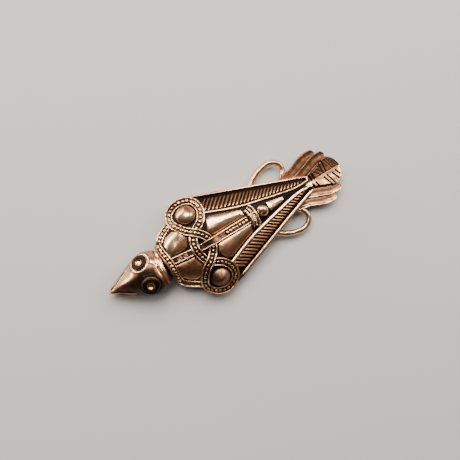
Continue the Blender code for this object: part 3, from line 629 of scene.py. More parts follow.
# ---- panels and bosses ----
def panel_shell(outline, side, rise, ridge, seed, worn, gleam, cushion=0.5, chamfer=0.34):
    """A cushioned panel: rings shrink from its outline to its middle while they rise.

    The height climbs steeply over a narrow chamfer and then like 1 - exp(-distance from
    the edge), which makes up the cushion's share of the rise. Past the ridge, a line
    through (x, y) square to its direction, the surface falls. Along the gleam, a stroke
    from start to end, the panel is painted brighter as a highlight.
    """
    corners = np.array(sided(outline, side), float)
    rim = smooth_rim(corners, 0.1, 0.2)
    centre = rim.mean(axis=0)
    shrink = 1.0 - np.linspace(0.0, 0.98, 44) ** 1.25
    plan = centre + (rim - centre)[None] * shrink[:, None, None]
    sides = unit(np.roll(corners, -1, axis=0) - corners)
    inward = np.stack([-sides[:, 1], sides[:, 0]], axis=1)
    inward = inward * np.sign(((centre - corners) * inward).sum(axis=1))[:, None]
    gap = ((plan[:, :, None] - corners) * inward).sum(axis=-1).min(axis=-1)
    steep = np.clip(gap / chamfer, 0.0, 1.0)
    up = -0.4 + (0.4 + (1.0 - cushion) * rise) * steep
    up = up + cushion * rise * (1.0 - np.exp(-np.maximum(gap - chamfer, 0.0) / 0.9))
    x, y = plan[..., 0], plan[..., 1]
    ridge_x, ridge_y, direction, drop = ridge
    past = (x - ridge_x) * math.cos(direction) + (y - ridge_y) * math.sin(direction)
    up = up - drop * np.maximum(past, 0.0) * steep
    up = up + (0.022 * ripple(x, y, 3.6, seed) + 0.003 * ripple(x, y, 1.2, seed + 5)) * steep
    # worn is the panel's tone; it is low on the left front panel as painted shade. The gleam below
    # is a painted highlight.
    wear = RECESS + (worn - RECESS) * smoothstep(0.1, chamfer + 0.15, gap)
    wear = wear + 0.3 * bell(gap - chamfer, 0.18)
    if gleam:
        start, end, width, amount = gleam
        wear = wear + amount * bell(to_segment(x, y, start, end), width) * steep
    points = stack(x, y, back_height(x, y) + up)
    return tube(np.vstack([points[:1] - 0.6 * UP, points]), np.vstack([wear[:1], wear]))


def smooth_rim(corners, step, reach):
    """A closed outline at even steps, with its corners rounded over a reach."""
    loop = np.vstack([corners, corners[:1]])
    columns = read_off(loop, np.arange(0.0, run(loop)[-1], step)).T
    return np.stack([even_out(column, step, reach, closed=True) for column in columns], axis=1)


def boss_shell(side, sizes):
    """A boss square to the back: a dented half ball, which on the left is mostly a cone.

    A patch on its flank, a bell curve of the distance out and of the angle round, is a
    painted highlight on the left boss and painted shade on the right one. The left boss is
    painted darker overall as shade, and the right one brighter as a highlight.
    """
    radius, rise = sizes.boss_radius / MM, sizes.boss_rise / MM
    x, y = np.array([BOSS_X]), np.array([side * BOSS_Y])
    normal = back_normal(x, y)[0]
    foot = stack(x, y, back_height(x, y))[0]
    across = unit(np.cross(normal, (0.0, 1.0, 0.0)))
    ahead = np.cross(normal, across)
    turn = circle(96)[None, :]
    out = np.sin(np.linspace(0.01, np.pi / 2, 36))[:, None]
    up = rise * np.sqrt(np.maximum(1.0 - out ** 2, 0.0)) + 0 * turn
    if side > 0:
        up = 0.4 * up + 0.6 * rise * (1.15 - np.sqrt(out ** 2 + 0.02) - 0.14 * out)
    u, v = radius * out * np.cos(turn), radius * out * np.sin(turn)
    up = up + (0.09 if side < 0 else 0.06) * ripple(u, v, 2.8, 83 + side)
    dome = foot + u[..., None] * across + v[..., None] * ahead + up[..., None] * normal
    patch = bell(out - 0.65, 0.3) * bell(2.0 * np.sin((turn - 0.8) / 2.0), 0.9)
    # Painted light: the left boss is darker as shade with a painted highlight patch; the right one
    # is brighter with a patch of painted shade.
    worn = 0.15 - 0.34 * patch if side < 0 else 0.52 * patch - 0.34
    return footed(dome, PLAIN + worn - 0.6 * smoothstep(0.86, 1.0, out), 0.9 * normal)


# ---- wings ----
def wing_field(side, sizes):
    """The barbs of a wing, in rows that slant back by BARB_LEAN for each millimetre of width.

    Across, a left barb climbs steeply and falls away slowly. A right barb is one wave of
    a raised cosine and ends in a bead at the inner rim.
    """
    count = sizes.barb_count
    draw = np.random.default_rng(90 + side)
    a = np.linspace(0.0, 1.0, count * ROWS_PER_BARB + 1)[:, None]
    b = np.linspace(0.0, 1.0, 56)[None, :]
    x0 = BARB_FRONT_X + (BARB_REAR_X - BARB_FRONT_X) * a
    inner, outer = along(INNER_ROW, x0), along(OUTER_ROW, x0)
    x1 = np.maximum(x0 - BARB_LEAN[side] * (outer - inner), WING_TIP_X + 0.9)
    span = along(OUTER_ROW, x1) - inner
    x = x0 + (x1 - x0) * b
    y = inner + span * b
    number = np.minimum((a * count).astype(int), count - 1)
    tall = draw.uniform(0.85, 1.12, count)[number]
    start = draw.uniform(-0.02, 0.02, count)[number]
    part = np.mod(a * count, 1.0)
    if side > 0:
        wave = smoothstep(0.26, 0.46, part) * (1.0 - 0.5 * np.clip((part - 0.35) / 0.6, 0.0, 1.0))
        wave = wave * smoothstep(1.0, 0.84, part)
    else:
        wave = (0.5 - 0.5 * np.cos(math.tau * part)) ** 1.1
    width = np.maximum(span, 0.6)
    from_inner, from_outer = (b - start) * width, (1.0 - b) * width
    envelope = smoothstep(0.3, 0.62, from_inner) * smoothstep(0.35, 0.75, from_outer)
    ridge = wave * envelope * tall
    bead = bell(from_inner - 0.85, 0.36) * wave * envelope * (0.0 if side > 0 else 1.0)
    up = 0.04 + sizes.barb_rise / MM * ridge * (1.05 - 0.2 * b) + 0.14 * bead
    # Painted light: the left wing's barbs are brighter than the right wing's, as a painted
    # highlight.
    bare = smoothstep(0.12, 0.5, ridge) * ((0.6 if side > 0 else 0.38) - 0.1 * b)
    wear = np.pad(RECESS + bare + 0.6 * bead, ((0, 0), (1, 1)), mode="edge")
    points = stack(x, side * y, back_height(x, y) + up)
    walls = points[:, [0, -1]] - 0.7 * UP
    return tube(np.concatenate([walls[:, :1], points, walls[:, 1:]], axis=1), wear)


def wing_rim(side, sizes):
    """The rim down a wing's inner side, round its tip and back: a flattened half round.

    It is wider and leans more on the left wing, narrows at the tip, and is duller along
    the front of the right wing's outer edge.
    """
    path = smooth_path(sided(WING_INNER[-2:0:-1] + WING_TIPS[side] + WING_EDGE, side), 0.12)
    half, rise = sizes.wing_rim / MM / 2, 0.78
    at_tip = bell(path[:, :1] - WING_TIP_X, 1.3)
    half = half * (1.0 + (0.16 if side > 0 else -0.25)) * (1.0 - 0.42 * at_tip)
    turn = np.linspace(0.0, np.pi, 15)[None, :]
    worn = 1.0 + 0.03 * ripple(run(path)[:, None], 0.0, 2.6, 95 + side)
    across = np.hstack([-half - 0.03, -half * np.cos(turn) * worn, half + 0.03])
    arch = rise * (0.5 + 0.5 * np.sin(turn) ** 0.55) * worn
    toward = unit(np.gradient(path, axis=0))[:, :1]
    arch = arch + (0.36 if side > 0 else 0.05) * toward * across[:, 1:-1]
    up = np.pad(arch, ((0, 0), (1, 1)), constant_values=-1.2)
    wear = np.pad(0.3 + 0.7 * np.sin(turn), ((0, 0), (1, 1)), constant_values=RECESS)
    if side < 0:
        wear = wear - 0.34 * smoothstep(-12.0, -2.0, path[:, :1]) * (toward > 0)
    return tube(carried(path, across, up, 0.3), wear)


# ---- head ----
HEAD_ROWS = {"half": rounded(HEAD_HALF_WIDTH, 0.7), "top": rounded(HEAD_TOP, 0.9),
             "bottom": rounded(HEAD_BOTTOM, 0.9), "middle": rounded(HEAD_MIDDLE, 0.9),
             "power": rounded(BEAK_POWER, 1.0)}


def head_point(s, t, z):
    """From the head's own axes to the bird's: roll about the head's axis, then turn at the neck."""
    y = t * math.cos(HEAD_ROLL) + (z - HEAD_AXIS_Z) * math.sin(HEAD_ROLL)
    up = HEAD_AXIS_Z - t * math.sin(HEAD_ROLL) + (z - HEAD_AXIS_Z) * math.cos(HEAD_ROLL)
    return stack(NECK_X + s * math.cos(HEAD_TURN) - y * math.sin(HEAD_TURN),
                 s * math.sin(HEAD_TURN) + y * math.cos(HEAD_TURN), up)


def head_surface(s, angle):
    """A super-ellipse in each section, whose upper half sharpens into the beak's ridge."""
    half = along(HEAD_ROWS["half"], s)
    middle = along(HEAD_ROWS["middle"], s)
    upper = np.sin(angle) >= 0
    reach = np.where(upper, along(HEAD_ROWS["top"], s), along(HEAD_ROWS["bottom"], s)) - middle
    power = np.where(upper, along(HEAD_ROWS["power"], s), 1.0)
    c, n = np.cos(angle), np.abs(np.sin(angle))
    return head_point(s, half * np.sign(c) * np.abs(c) ** power, middle + reach * n ** power)


def head_normal(s, angle):
    """Outward normal of the head from two short steps over its surface."""
    step = 0.12
    ahead = head_surface(s + step, angle) - head_surface(s - step, angle)
    round_it = head_surface(s, angle + 0.04) - head_surface(s, angle - 0.04)
    return unit(np.cross(ahead, round_it))


# Height of an eye over the head and its wear, by distance from the pupil's middle.
EYE_PROFILE = ((0.0, 0.8), (0.4, 0.74), (0.8, 0.52), (1.1, 0.12), (1.3, -0.18), (1.5, -0.22),
               (1.64, -0.22), (1.78, -0.16), (1.92, -0.2), (2.2, -0.23), (2.34, 0.02), (2.48, 0.26),
               (2.64, 0.31), (2.82, 0.2), (3.0, -0.02), (3.15, -0.05), (3.4, 0.0))
EYE_WEAR = ((0.0, 1.0), (0.85, 0.95), (1.1, 0.4), (1.2, 0.04), (1.36, 0.24), (1.6, 0.28),
            (1.7, 0.1), (1.8, 0.32), (2.1, 0.24), (2.26, 0.04), (2.36, 0.7), (2.46, 1.0),
            (2.8, 1.0), (2.92, 0.5), (3.05, 0.2), (3.3, 0.6))
EYE_REACH = 3.4
EYE_RING = 2.6             # radius of the ring in the two tables


def head_relief(s, angle):
    """How far the head's surface stands out, and its wear and painted shading, apart from the eyes.

    Three rings on the nape and a streak beside them are bell curves of the distance to
    their lines; the rings are rubbed bright and carry painted highlights, and the streak is
    a painted highlight with a slight rise. The mouth is such a curve taken away, with a lip
    above it. The beak's ridge is rubbed bright and its right facet carries a painted
    highlight, as does the back of the head. The bird's left side, the underside and the
    root at the neck are darkened as painted shade.
    """
    half = along(HEAD_ROWS["half"], s)
    aside = half * np.abs(np.cos(angle)) ** along(HEAD_ROWS["power"], s)
    across = aside * np.sign(np.cos(angle))
    upper = np.sin(angle) > 0
    high = smoothstep(-0.1, 0.35, np.sin(angle))

    middle_back = bell(across - 0.2, 3.2)
    nape = 0.34 * bell(s - 1.3, 0.36) + 0.32 * bell(s - 2.4, 0.32)
    nape = nape + 0.26 * bell(s - 3.5, 0.34) * middle_back
    nape = nape - 0.2 * bell(s - 1.85, 0.22) - 0.18 * bell(s - 2.95, 0.2)
    wavy = 0.75 + 0.45 * ripple(4.0 * np.cos(angle), s, 2.6, 103)
    nape = nape * wavy * high * (0.8 + 0.5 * middle_back)
    # Painted highlight: the streak behind the right eye, with a slight rise.
    highlight_streak = bell(to_segment(s, across, (3.4, -1.1), (5.0, -2.6)), 0.36) * upper
    from_mouth = aside - (half - np.minimum(0.92, 0.45 * half))
    mouth_length = smoothstep(11.4, 12.6, s) * smoothstep(18.4, 17.4, s) * upper
    groove = bell(from_mouth, 0.12) * mouth_length
    lip = bell(from_mouth - 0.36, 0.2) * mouth_length
    dents = 0.03 * ripple(s, angle * 3.0, 2.6, 101) * smoothstep(18.7, 17.0, s)
    up = nape + 0.12 * highlight_streak - 0.26 * groove + 0.1 * lip + dents

    # Painted shade: the bird's left side of the head is darker.
    crown = bell(s - 6.6, 2.6)
    left = smoothstep(-1.3 - crown, 0.2 - 0.6 * crown, across) * smoothstep(18.5, 16.0, s)
    left = left * (1.0 + 0.2 * crown) * (1.0 - 0.8 * middle_back * smoothstep(4.8, 3.4, s))
    # Painted highlight on the beak's right facet.
    facet_highlight = smoothstep(0.2, -0.6, across) * smoothstep(8.5, 12.5, s)
    facet_highlight = facet_highlight * smoothstep(0.25, -0.15, from_mouth)
    wear = PLAIN - 0.04 - 0.4 * left + 0.04 * smoothstep(9.0, 13.0, s) + 0.32 * facet_highlight * upper
    # Painted highlights on the nape rings, over their real rubbing, and on the back of the head.
    wear = wear + (1.2 + 0.6 * middle_back) * nape + 0.44 * middle_back * bell(s - 2.2, 1.7) * high
    wear = wear + 0.4 * highlight_streak - 0.95 * groove + 0.42 * lip
    wear = wear + 0.25 * bell(aside, 0.3) * upper * smoothstep(9.5, 12.5, s)
    # Painted shade at the root by the neck and under the head.
    return up, wear - 0.6 * bell(s - 0.7, 0.26) - 0.25 * smoothstep(0.2, -0.3, np.sin(angle))


def add_eye(points, normal, wear, eye, scale):
    """Moves the points near an eye along its axis, by EYE_PROFILE of their distance from it.

    They are also drawn flat towards the eye's plane. The left eye is dimmed as painted shade, and
    the right eye's ring is brightened as a painted highlight.
    """
    side, eye_s, eye_t = eye
    spot = np.arccos(side * eye_t / along(HEAD_ROWS["half"], eye_s))
    centre = head_surface(np.array([eye_s]), np.array([spot]))[0]
    out = head_normal(np.array([eye_s]), np.array([spot]))[0]
    away = points - centre
    depth = away @ out
    reach = np.linalg.norm(away - depth[..., None] * out, axis=-1) / scale
    close = (depth > -EYE_REACH) * smoothstep(-0.1, 0.25, normal @ out)
    flatter = -0.4 * depth * (1.0 - smoothstep(2.0, EYE_REACH, reach))
    raised = (np.interp(reach, *np.array(EYE_PROFILE).T) + flatter) * close
    # Painted light: share dims the left eye as painted shade and brightens the right eye's ring as
    # a painted highlight.
    share = 1.02 - 0.08 * side - (0.5 - 0.1 * side) * smoothstep(0.9, 1.5, reach)
    share = share + (0.5 if side < 0 else -0.24) * smoothstep(2.15, 2.4, reach)
    blend = (1.0 - smoothstep(2.95, EYE_REACH, reach)) * close
    wear = wear * (1.0 - blend) + np.interp(reach, *np.array(EYE_WEAR).T) * blend * share
    return points + out * raised[..., None], wear


def head_shell(sizes):
    """Head and beak in one skin: rings from the neck to the tip, with points closest on top.

    The last rings shrink along a quarter circle. The relief moves the points along the
    head's normal, and the eyes come last.
    """
    s = np.concatenate([np.linspace(HEAD_START, BEAK_START, 150),
                        np.linspace(BEAK_START, BEAK_TIP, 96)[1:]])[:, None]
    angle = circle(360)[None, :]
    angle = angle + 0.45 * np.cos(angle)
    s, angle = np.broadcast_arrays(s, angle)
    normal = head_normal(s, angle)
    middle = head_point(s, 0.0 * s, along(HEAD_ROWS["middle"], s))
    past = np.clip((s - BEAK_ROUND_FROM) / BEAK_ROUND, 0.0, 1.0)
    tip = np.sqrt(np.clip(1.0 - past ** 2, 0.0, 1.0))
    up, wear = head_relief(s, angle)
    points = middle + (head_surface(s, angle) - middle) * tip[..., None] + normal * up[..., None]
    for eye in EYES:
        points, wear = add_eye(points, normal, wear, eye, sizes.eye_radius / MM / EYE_RING)
    return tube(points, wear)


# ---- tail ----
# Each feather's stations: (x, y, half width, low height, high height).
MIDDLE_FEATHER = (
    (-22.0, 0.0, 1.6, 4.4, 4.6), (-26.6, 0.0, 1.2, 4.5, 4.8), (-28.2, 0.0, 1.7, 4.35, 4.75),
    (-30.0, 0.0, 2.5, 4.15, 4.7), (-32.2, 0.0, 3.4, 3.95, 4.6), (-34.4, 0.0, 4.3, 3.75, 4.45),
    (-36.2, 0.0, 3.3, 3.6, 4.2), (-37.1, 0.0, 1.9, 3.5, 4.0), (-37.5, 0.0, 0.6, 3.45, 3.9))
OUTER_FEATHER = (
    (-18.5, 3.4, 1.2, 2.9, 3.3), (-21.5, 4.2, 1.35, 2.9, 3.5), (-25.0, 4.9, 1.4, 2.9, 3.6),
    (-28.0, 6.0, 1.6, 2.9, 3.6), (-30.4, 6.5, 1.65, 2.8, 3.5), (-32.9, 6.5, 1.5, 2.7, 3.3))
INNER_FEATHER = (
    (-18.5, 1.6, 1.5, 3.2, 3.7), (-24.0, 2.2, 1.5, 3.3, 3.8), (-28.0, 3.3, 1.6, 3.3, 3.9),
    (-31.5, 4.5, 1.65, 3.1, 3.8), (-35.3, 4.9, 1.55, 2.9, 3.5))
# Chased lines on the middle feather: (distance behind its root, place to the left) of both ends.
LEFT_NOTCHES = (((1.3, 0.9), (1.9, 2.6)), ((2.5, 1.0), (3.0, 2.8)))
LEFT_BARS = (((5.4, 0.9), (6.6, 4.0)), ((6.5, 0.7), (7.5, 3.9)), ((8.2, 0.9), (9.2, 3.2)),
             ((9.4, 0.7), (10.1, 2.2)))
RIGHT_NOTCHES = (((1.5, -1.7), (1.7, -0.15)), ((2.4, -2.0), (2.6, -0.2)))
RIGHT_BARS = (((5.6, -3.8), (5.7, -0.5)), ((6.7, -4.2), (6.7, -0.5)))
RIGHT_BARBS = (((3.3, -1.9), (4.5, -0.5)), ((4.0, -2.5), (5.2, -1.0)), ((4.9, -3.1), (5.4, -2.3)),
               ((7.5, -3.8), (8.7, -0.6)), ((8.3, -3.5), (9.5, -0.6)), ((9.1, -2.9), (10.2, -0.6)))
# Strokes, their width and their depth.
CHASING = ((LEFT_NOTCHES + RIGHT_NOTCHES, 0.2, 0.42), (LEFT_BARS, 0.16, 0.32),
           (RIGHT_BARS, 0.17, 0.2), (RIGHT_BARBS, 0.13, 0.12))


def feather_rows(stations, step, blunt):
    """A smooth curve through a feather's stations, as columns.

    Over the last stretch the half width follows a circle's quarter and the heights sink.
    """
    columns = smooth_path(stations, step).T.copy()
    if not blunt:
        return columns
    place = run(columns[:2].T)
    turns = np.linspace(0.0, np.pi / 2, 18)
    start = place[-1] - blunt
    marks = np.concatenate([np.arange(0.0, start, step), start + blunt * np.sin(turns)])
    columns = np.stack([np.interp(marks, place, column) for column in columns])
    columns[2, -18:] *= np.maximum(np.cos(turns), 0.02)
    columns[3:, -18:] -= 0.3 * (1.0 - np.cos(turns)) ** 2
    return columns


def feather_shell(stations, side, relief, step=0.11, columns=61, blunt=1.25):
    """A dished feather with a flat back.

    relief(x, y, place across from -1 to 1) gives the share of the way from its low to its
    high height, the height of the chasing and the wear.
    """
    x, y, half, low, high = (row[:, None] for row in feather_rows(stations, step, blunt))
    y = y * side
    ahead = unit(np.hstack([np.gradient(x[:, 0])[:, None], np.gradient(y[:, 0])[:, None]]))
    v = np.sin(np.linspace(-np.pi / 2, np.pi / 2, columns))[None, :]
    px = x - ahead[:, 1:] * half * v
    py = y + ahead[:, :1] * half * v
    out = v * np.sign(ahead[:, :1]) * side
    share, up, wear = relief(px, py, out)
    shoulder = 0.2 * smoothstep(0.93, 1.0, np.abs(v)) * np.minimum(half, 1.0)
    wear = np.clip(wear - 1.4 * shoulder, 0.0, 1.0)
    top = stack(px, py, low + (high - low) * share + up * np.minimum(half, 1.0) - shoulder)
    base = top[:, [-1, 0]].copy()
    base[..., 2] = TAIL_BOTTOM
    wear = np.hstack([wear, np.full((len(wear), 2), 0.45)])
    return tube(np.concatenate([top, base], axis=1), wear)


def middle_relief(x, y, out):
    """Two halves that rise from a fine crease to the edges, with chased strokes."""
    behind = TAIL_ROOT_X - x
    cut = 0.0
    for strokes, width, depth in CHASING:
        for start, end in strokes:
            cut = np.maximum(cut, depth * bell(to_segment(behind, y, start, end), width))
    crease = 0.14 * bell(y + 0.25, 0.13) * smoothstep(3.0, 4.6, behind)
    up = 0.03 * ripple(x, y, 2.4, 111) - crease - cut
    # Painted highlight: the left half is brighter, most of all near the root.
    root = smoothstep(2.4, 0.0, behind)
    left = (0.19 + 0.16 * root) * smoothstep(-0.4 - 0.8 * root, 0.2, y)
    return np.abs(out) ** 1.2, up, PLAIN - 0.15 + left - 2.2 * cut - 2.6 * crease


def side_relief(x, y, out):
    """A blade that rises outwards over a soft trough, with a thin line near its inner edge."""
    edge = 0.07 * bell(out - 0.84, 0.16)
    trough = 0.16 * bell(out - 0.35, 0.42)
    line = 0.14 * bell(out + 0.62, 0.07)
    up = edge - trough - line + 0.03 * ripple(x, y, 2.6, 113)
    # Painted light: the right feathers are darker as painted shade and brighten towards the root as
    # a painted highlight; the raised outer edge is rubbed bright and carries a painted highlight,
    # stronger on the left.
    worn = np.where(y > 0, PLAIN - 0.02, PLAIN - 0.15 + 0.22 * smoothstep(-28.5, -22.0, x))
    wear = worn + (3.6 * edge - 0.5 * trough) * np.where(y > 0, 1.0, 0.5) - 2.6 * line
    return 0.5 + 0.5 * out, up, wear + 0.06 * ripple(x, y, 1.5, 114)


def tail_shells():
    """The fan: a central feather on top of two feathers on each side."""
    return [feather_shell(MIDDLE_FEATHER, 1, middle_relief, 0.07, 141, 0.0)] + [
        feather_shell(stations, side, side_relief)
        for side in (1, -1) for stations in (OUTER_FEATHER, INNER_FEATHER)]


# ---- rods ----
def rod_shell(path, wire, wear, sides, worn, seed):
    """A round rod along points (x, y, z): a circle square to the path, with rounded ends.

    wire is its radius, one number or one for each point; worn is how far the radius wavers.
    """
    ahead = unit(np.gradient(path, axis=0))
    side = unit(np.cross(ahead, UP))
    over = np.cross(side, ahead)
    turn = circle(sides)[None, :]
    place = run(path)
    past = np.clip(1.0 - to_end(place) / wire, 0.0, 1.0)
    radius = wire * np.sqrt(np.clip(1.0 - past ** 2, 0.01, 1.0))
    radius = radius[:, None] * (1.0 + worn * ripple(place[:, None], turn * 0.8, 2.2, seed))
    points = path[:, None] + radius[..., None] * (np.cos(turn)[..., None] * side[:, None]
                                                  + np.sin(turn)[..., None] * over[:, None])
    return tube(points, wear)


def loop_shells(sizes):
    """The two bent rods beside the tail's root, lightly hammered."""
    shells = []
    for side in (1, -1):
        path = smooth_path([(x, y, LOOP_HEIGHT) for x, y in sided(LOOP, side)], 0.14)
        shells.append(rod_shell(path, sizes.loop_wire / MM / 2, 0.76, 28, 0.05, 121 + side))
    return shells


# ---- fastening ----
def plate_with_bore(centre_y, thick, reach, bore, wear):
    """A plate square to Y with a bore: one ring section turned round the hinge's axis.

    reach gives the distance from the axis to the outline at each angle.
    """
    turn = circle(96)
    outline = reach(turn)[:, None]
    half, bevel = thick / 2, PLATE_BEVEL
    deep = np.array([-half + bevel, -half + 0.04, -half])
    deep = np.concatenate([deep, deep[::-1]])
    deep = np.concatenate([deep, -deep])[None, :]
    inset = np.array([bevel, bevel * 0.3, 0.0])
    inner = bore + np.array([0.0, bevel * 0.3, bevel])
    radius = np.hstack([np.broadcast_to(inner, (96, 3)), outline - inset[None, :],
                        outline - inset[None, ::-1], np.broadcast_to(inner[::-1], (96, 3))])
    x = PIN_HINGE_X + radius * np.cos(turn)[:, None]
    z = PIN_HINGE_Z + radius * np.sin(turn)[:, None]
    return tube(stack(x, centre_y + deep, z), wear, closed=True)


def lug_reach(turn):
    """Distance to a lug's outline: round below the axis, straight up to the hollow's ceiling."""
    c = np.maximum(np.abs(np.cos(turn)), 1e-6)
    s = np.maximum(np.sin(turn), 1e-6)
    straight = np.minimum(LUG_RADIUS / c, (LUG_TOP_Z - PIN_HINGE_Z) / s)
    return np.where(np.sin(turn) > 0, straight, LUG_RADIUS)


def hook_shell():
    """The catch: a flat strip that comes down from the back and curls round under the pin."""
    turns = np.radians(np.linspace(90.0, -110.0, 40))
    arc = stack(CATCH_X, CATCH_Y + HOOK_RADIUS * np.cos(turns),
                CATCH_Z + HOOK_RADIUS * np.sin(turns))
    stem = stack(CATCH_X, CATCH_Y - 0.05, np.linspace(HOOK_TOP_Z, CATCH_Z + HOOK_RADIUS + 0.1, 14))
    path = np.vstack([stem, arc])
    ahead = unit(np.gradient(path, axis=0))
    wide = np.array([1.0, 0.0, 0.0])
    thick = np.cross(ahead, wide)
    c, s = np.cos(circle(32)), np.sin(circle(32))
    across = HOOK_HALF_WIDTH * np.sign(c) * np.abs(c) ** 0.4
    deep = HOOK_HALF_THICK * np.sign(s) * np.abs(s) ** 0.5
    taper = (1.0 - 0.35 * smoothstep(0.75, 1.0, np.linspace(0, 1, len(path))))[:, None, None]
    profile = across[None, :, None] * wide + deep[None, :, None] * thick[:, None]
    return tube(path[:, None] + taper * profile, 0.5)


def fastening_shells(sizes):
    """Two lugs for the pin's rivet and the catch hook, cast with the back."""
    bore = sizes.rivet_radius / MM + CLEARANCE
    place = EYE_WIDTH / 2 + CLEARANCE + LUG_THICK / 2
    lugs = [plate_with_bore(side * place, LUG_THICK, lug_reach, bore, 0.45) for side in (1, -1)]
    return lugs + [hook_shell()]


def pin_shells(sizes):
    """The pin: an eye round the rivet and a tapered, slightly bowed wire."""
    bore = sizes.rivet_radius / MM + CLEARANCE
    eye = plate_with_bore(0.0, EYE_WIDTH, lambda turn: 0 * turn + EYE_OUTER, bore, 0.8)
    t = np.linspace(0.0, 1.0, 160)
    x = PIN_HINGE_X - PIN_START - t * (PIN_HINGE_X - PIN_TIP_X - PIN_START)
    z = PIN_HINGE_Z + (PIN_REST_Z - PIN_HINGE_Z) * t + PIN_BOW * np.sin(np.pi * t)
    wire = sizes.pin_wire / MM / 2 * np.interp(t, *np.array(PIN_TAPER).T)
    return [eye, rod_shell(stack(x, 0.0, z), wire, 0.85, 20, 0.015, 131)]


def rivet_shell(sizes):
    """The rivet turned about the hinge axis: a straight shank with a domed head at each end."""
    radius = sizes.rivet_radius / MM
    shank = EYE_WIDTH / 2 + 2 * CLEARANCE + LUG_THICK
    lean = np.linspace(0.0, np.pi / 2, 10)
    head_y = shank + RIVET_HEAD_RISE * np.sin(lean[::-1])
    head_r = (radius + RIVET_HEAD_SPREAD) * np.cos(lean[::-1]) ** 0.8 + 0.01
    y = np.concatenate([-head_y, [-shank, -shank * 0.5, 0.0, shank * 0.5, shank], head_y[::-1]])
    r = np.concatenate([head_r, [radius] * 5, head_r[::-1]])
    turn = circle(40)[None, :]
    dented = r[:, None] * (1.0 + 0.02 * np.sin(3 * turn))
    x, z = PIN_HINGE_X + dented * np.cos(turn), PIN_HINGE_Z + dented * np.sin(turn)
    return tube(stack(x, y[:, None], z), 0.8)


# ---- materials ----
BLOTCHES_PER_M, FLECKS_PER_M, GRAINS_PER_M = 420.0, 1900.0, 5200.0
RAGGEDNESS, GLOSS_SPREAD, BUMP_DEPTH = 0.24, 0.12, 0.00008
MIDDLE_STOP, SPECULAR, LEAST_METALLIC = 0.6, 0.2, 0.75


def feed(tree, node, inputs):
    """Links the sockets among inputs into the node, and sets the plain values."""
    for slot, value in inputs.items():
        if isinstance(value, bpy.types.NodeSocket):
            tree.links.new(value, node.inputs[slot])
        else:
            node.inputs[slot].default_value = value


def add_node(tree, kind, inputs, **settings):
    """A new shader node with its settings made and its inputs fed; returns its outputs."""
    node = tree.nodes.new("ShaderNode" + kind)
    for name, value in settings.items():
        setattr(node, name, value)
    feed(tree, node, inputs)
    return node.outputs


def add_math(tree, operation, first, second, clamp=False):
    """The result of a Math node."""
    return add_node(tree, "Math", {0: first, 1: second}, operation=operation, use_clamp=clamp)[0]


def add_noise(tree, where, scale, detail, distortion=0.0):
    """The factor of a noise texture."""
    return add_node(tree, "TexNoise", {"Vector": where, "Scale": scale, "Detail": detail,
                                       "Distortion": distortion})[0]


def wear_and_shading_group():
    """Turns wear and painted shading into a mask of bare metal with ragged edges, a bump height and
    a mottle.

    All three come from noise at the piece's own coordinates in metres.
    """
    if "brooch_wear" in bpy.data.node_groups:
        return bpy.data.node_groups["brooch_wear"]
    group = bpy.data.node_groups.new("brooch_wear", "ShaderNodeTree")
    for way, labels in (("INPUT", ("Wear", "Raggedness", "Grain")),
                        ("OUTPUT", ("Bare", "Height", "Mottle"))):
        for label in labels:
            group.interface.new_socket(label, in_out=way, socket_type="NodeSocketFloat")
    given = group.nodes.new("NodeGroupInput").outputs
    where = add_node(group, "TexCoord", {})["Object"]
    blotch = add_noise(group, where, BLOTCHES_PER_M, 3.0, 0.4)
    fleck = add_noise(group, where, FLECKS_PER_M, 3.0)
    fine = add_noise(group, where, GRAINS_PER_M, 2.0)
    blotches = add_math(group, "MULTIPLY", add_math(group, "SUBTRACT", blotch, 0.5), 0.9)
    flecks = add_math(group, "MULTIPLY", add_math(group, "SUBTRACT", fleck, 0.5), 0.8)
    uneven = add_math(group, "ADD", blotches, flecks)
    uneven = add_math(group, "MULTIPLY", uneven, given["Raggedness"])
    bare = add_node(group, "MapRange", {"Value": add_math(group, "ADD", given["Wear"], uneven),
                                        "From Min": 0.08, "From Max": 0.98},
                    interpolation_type="SMOOTHSTEP")["Result"]
    pits = add_math(group, "MULTIPLY", fleck, add_math(group, "SUBTRACT", 1.15, bare))
    pits = add_math(group, "MULTIPLY", pits, given["Grain"])
    height = add_math(group, "ADD", pits, add_math(group, "MULTIPLY", fine, 0.12))
    height = add_math(group, "ADD", height, add_math(group, "MULTIPLY", blotch, 0.5))
    feed(group, group.nodes.new("NodeGroupOutput"),
         {"Bare": bare, "Height": height, "Mottle": blotch})
    return group


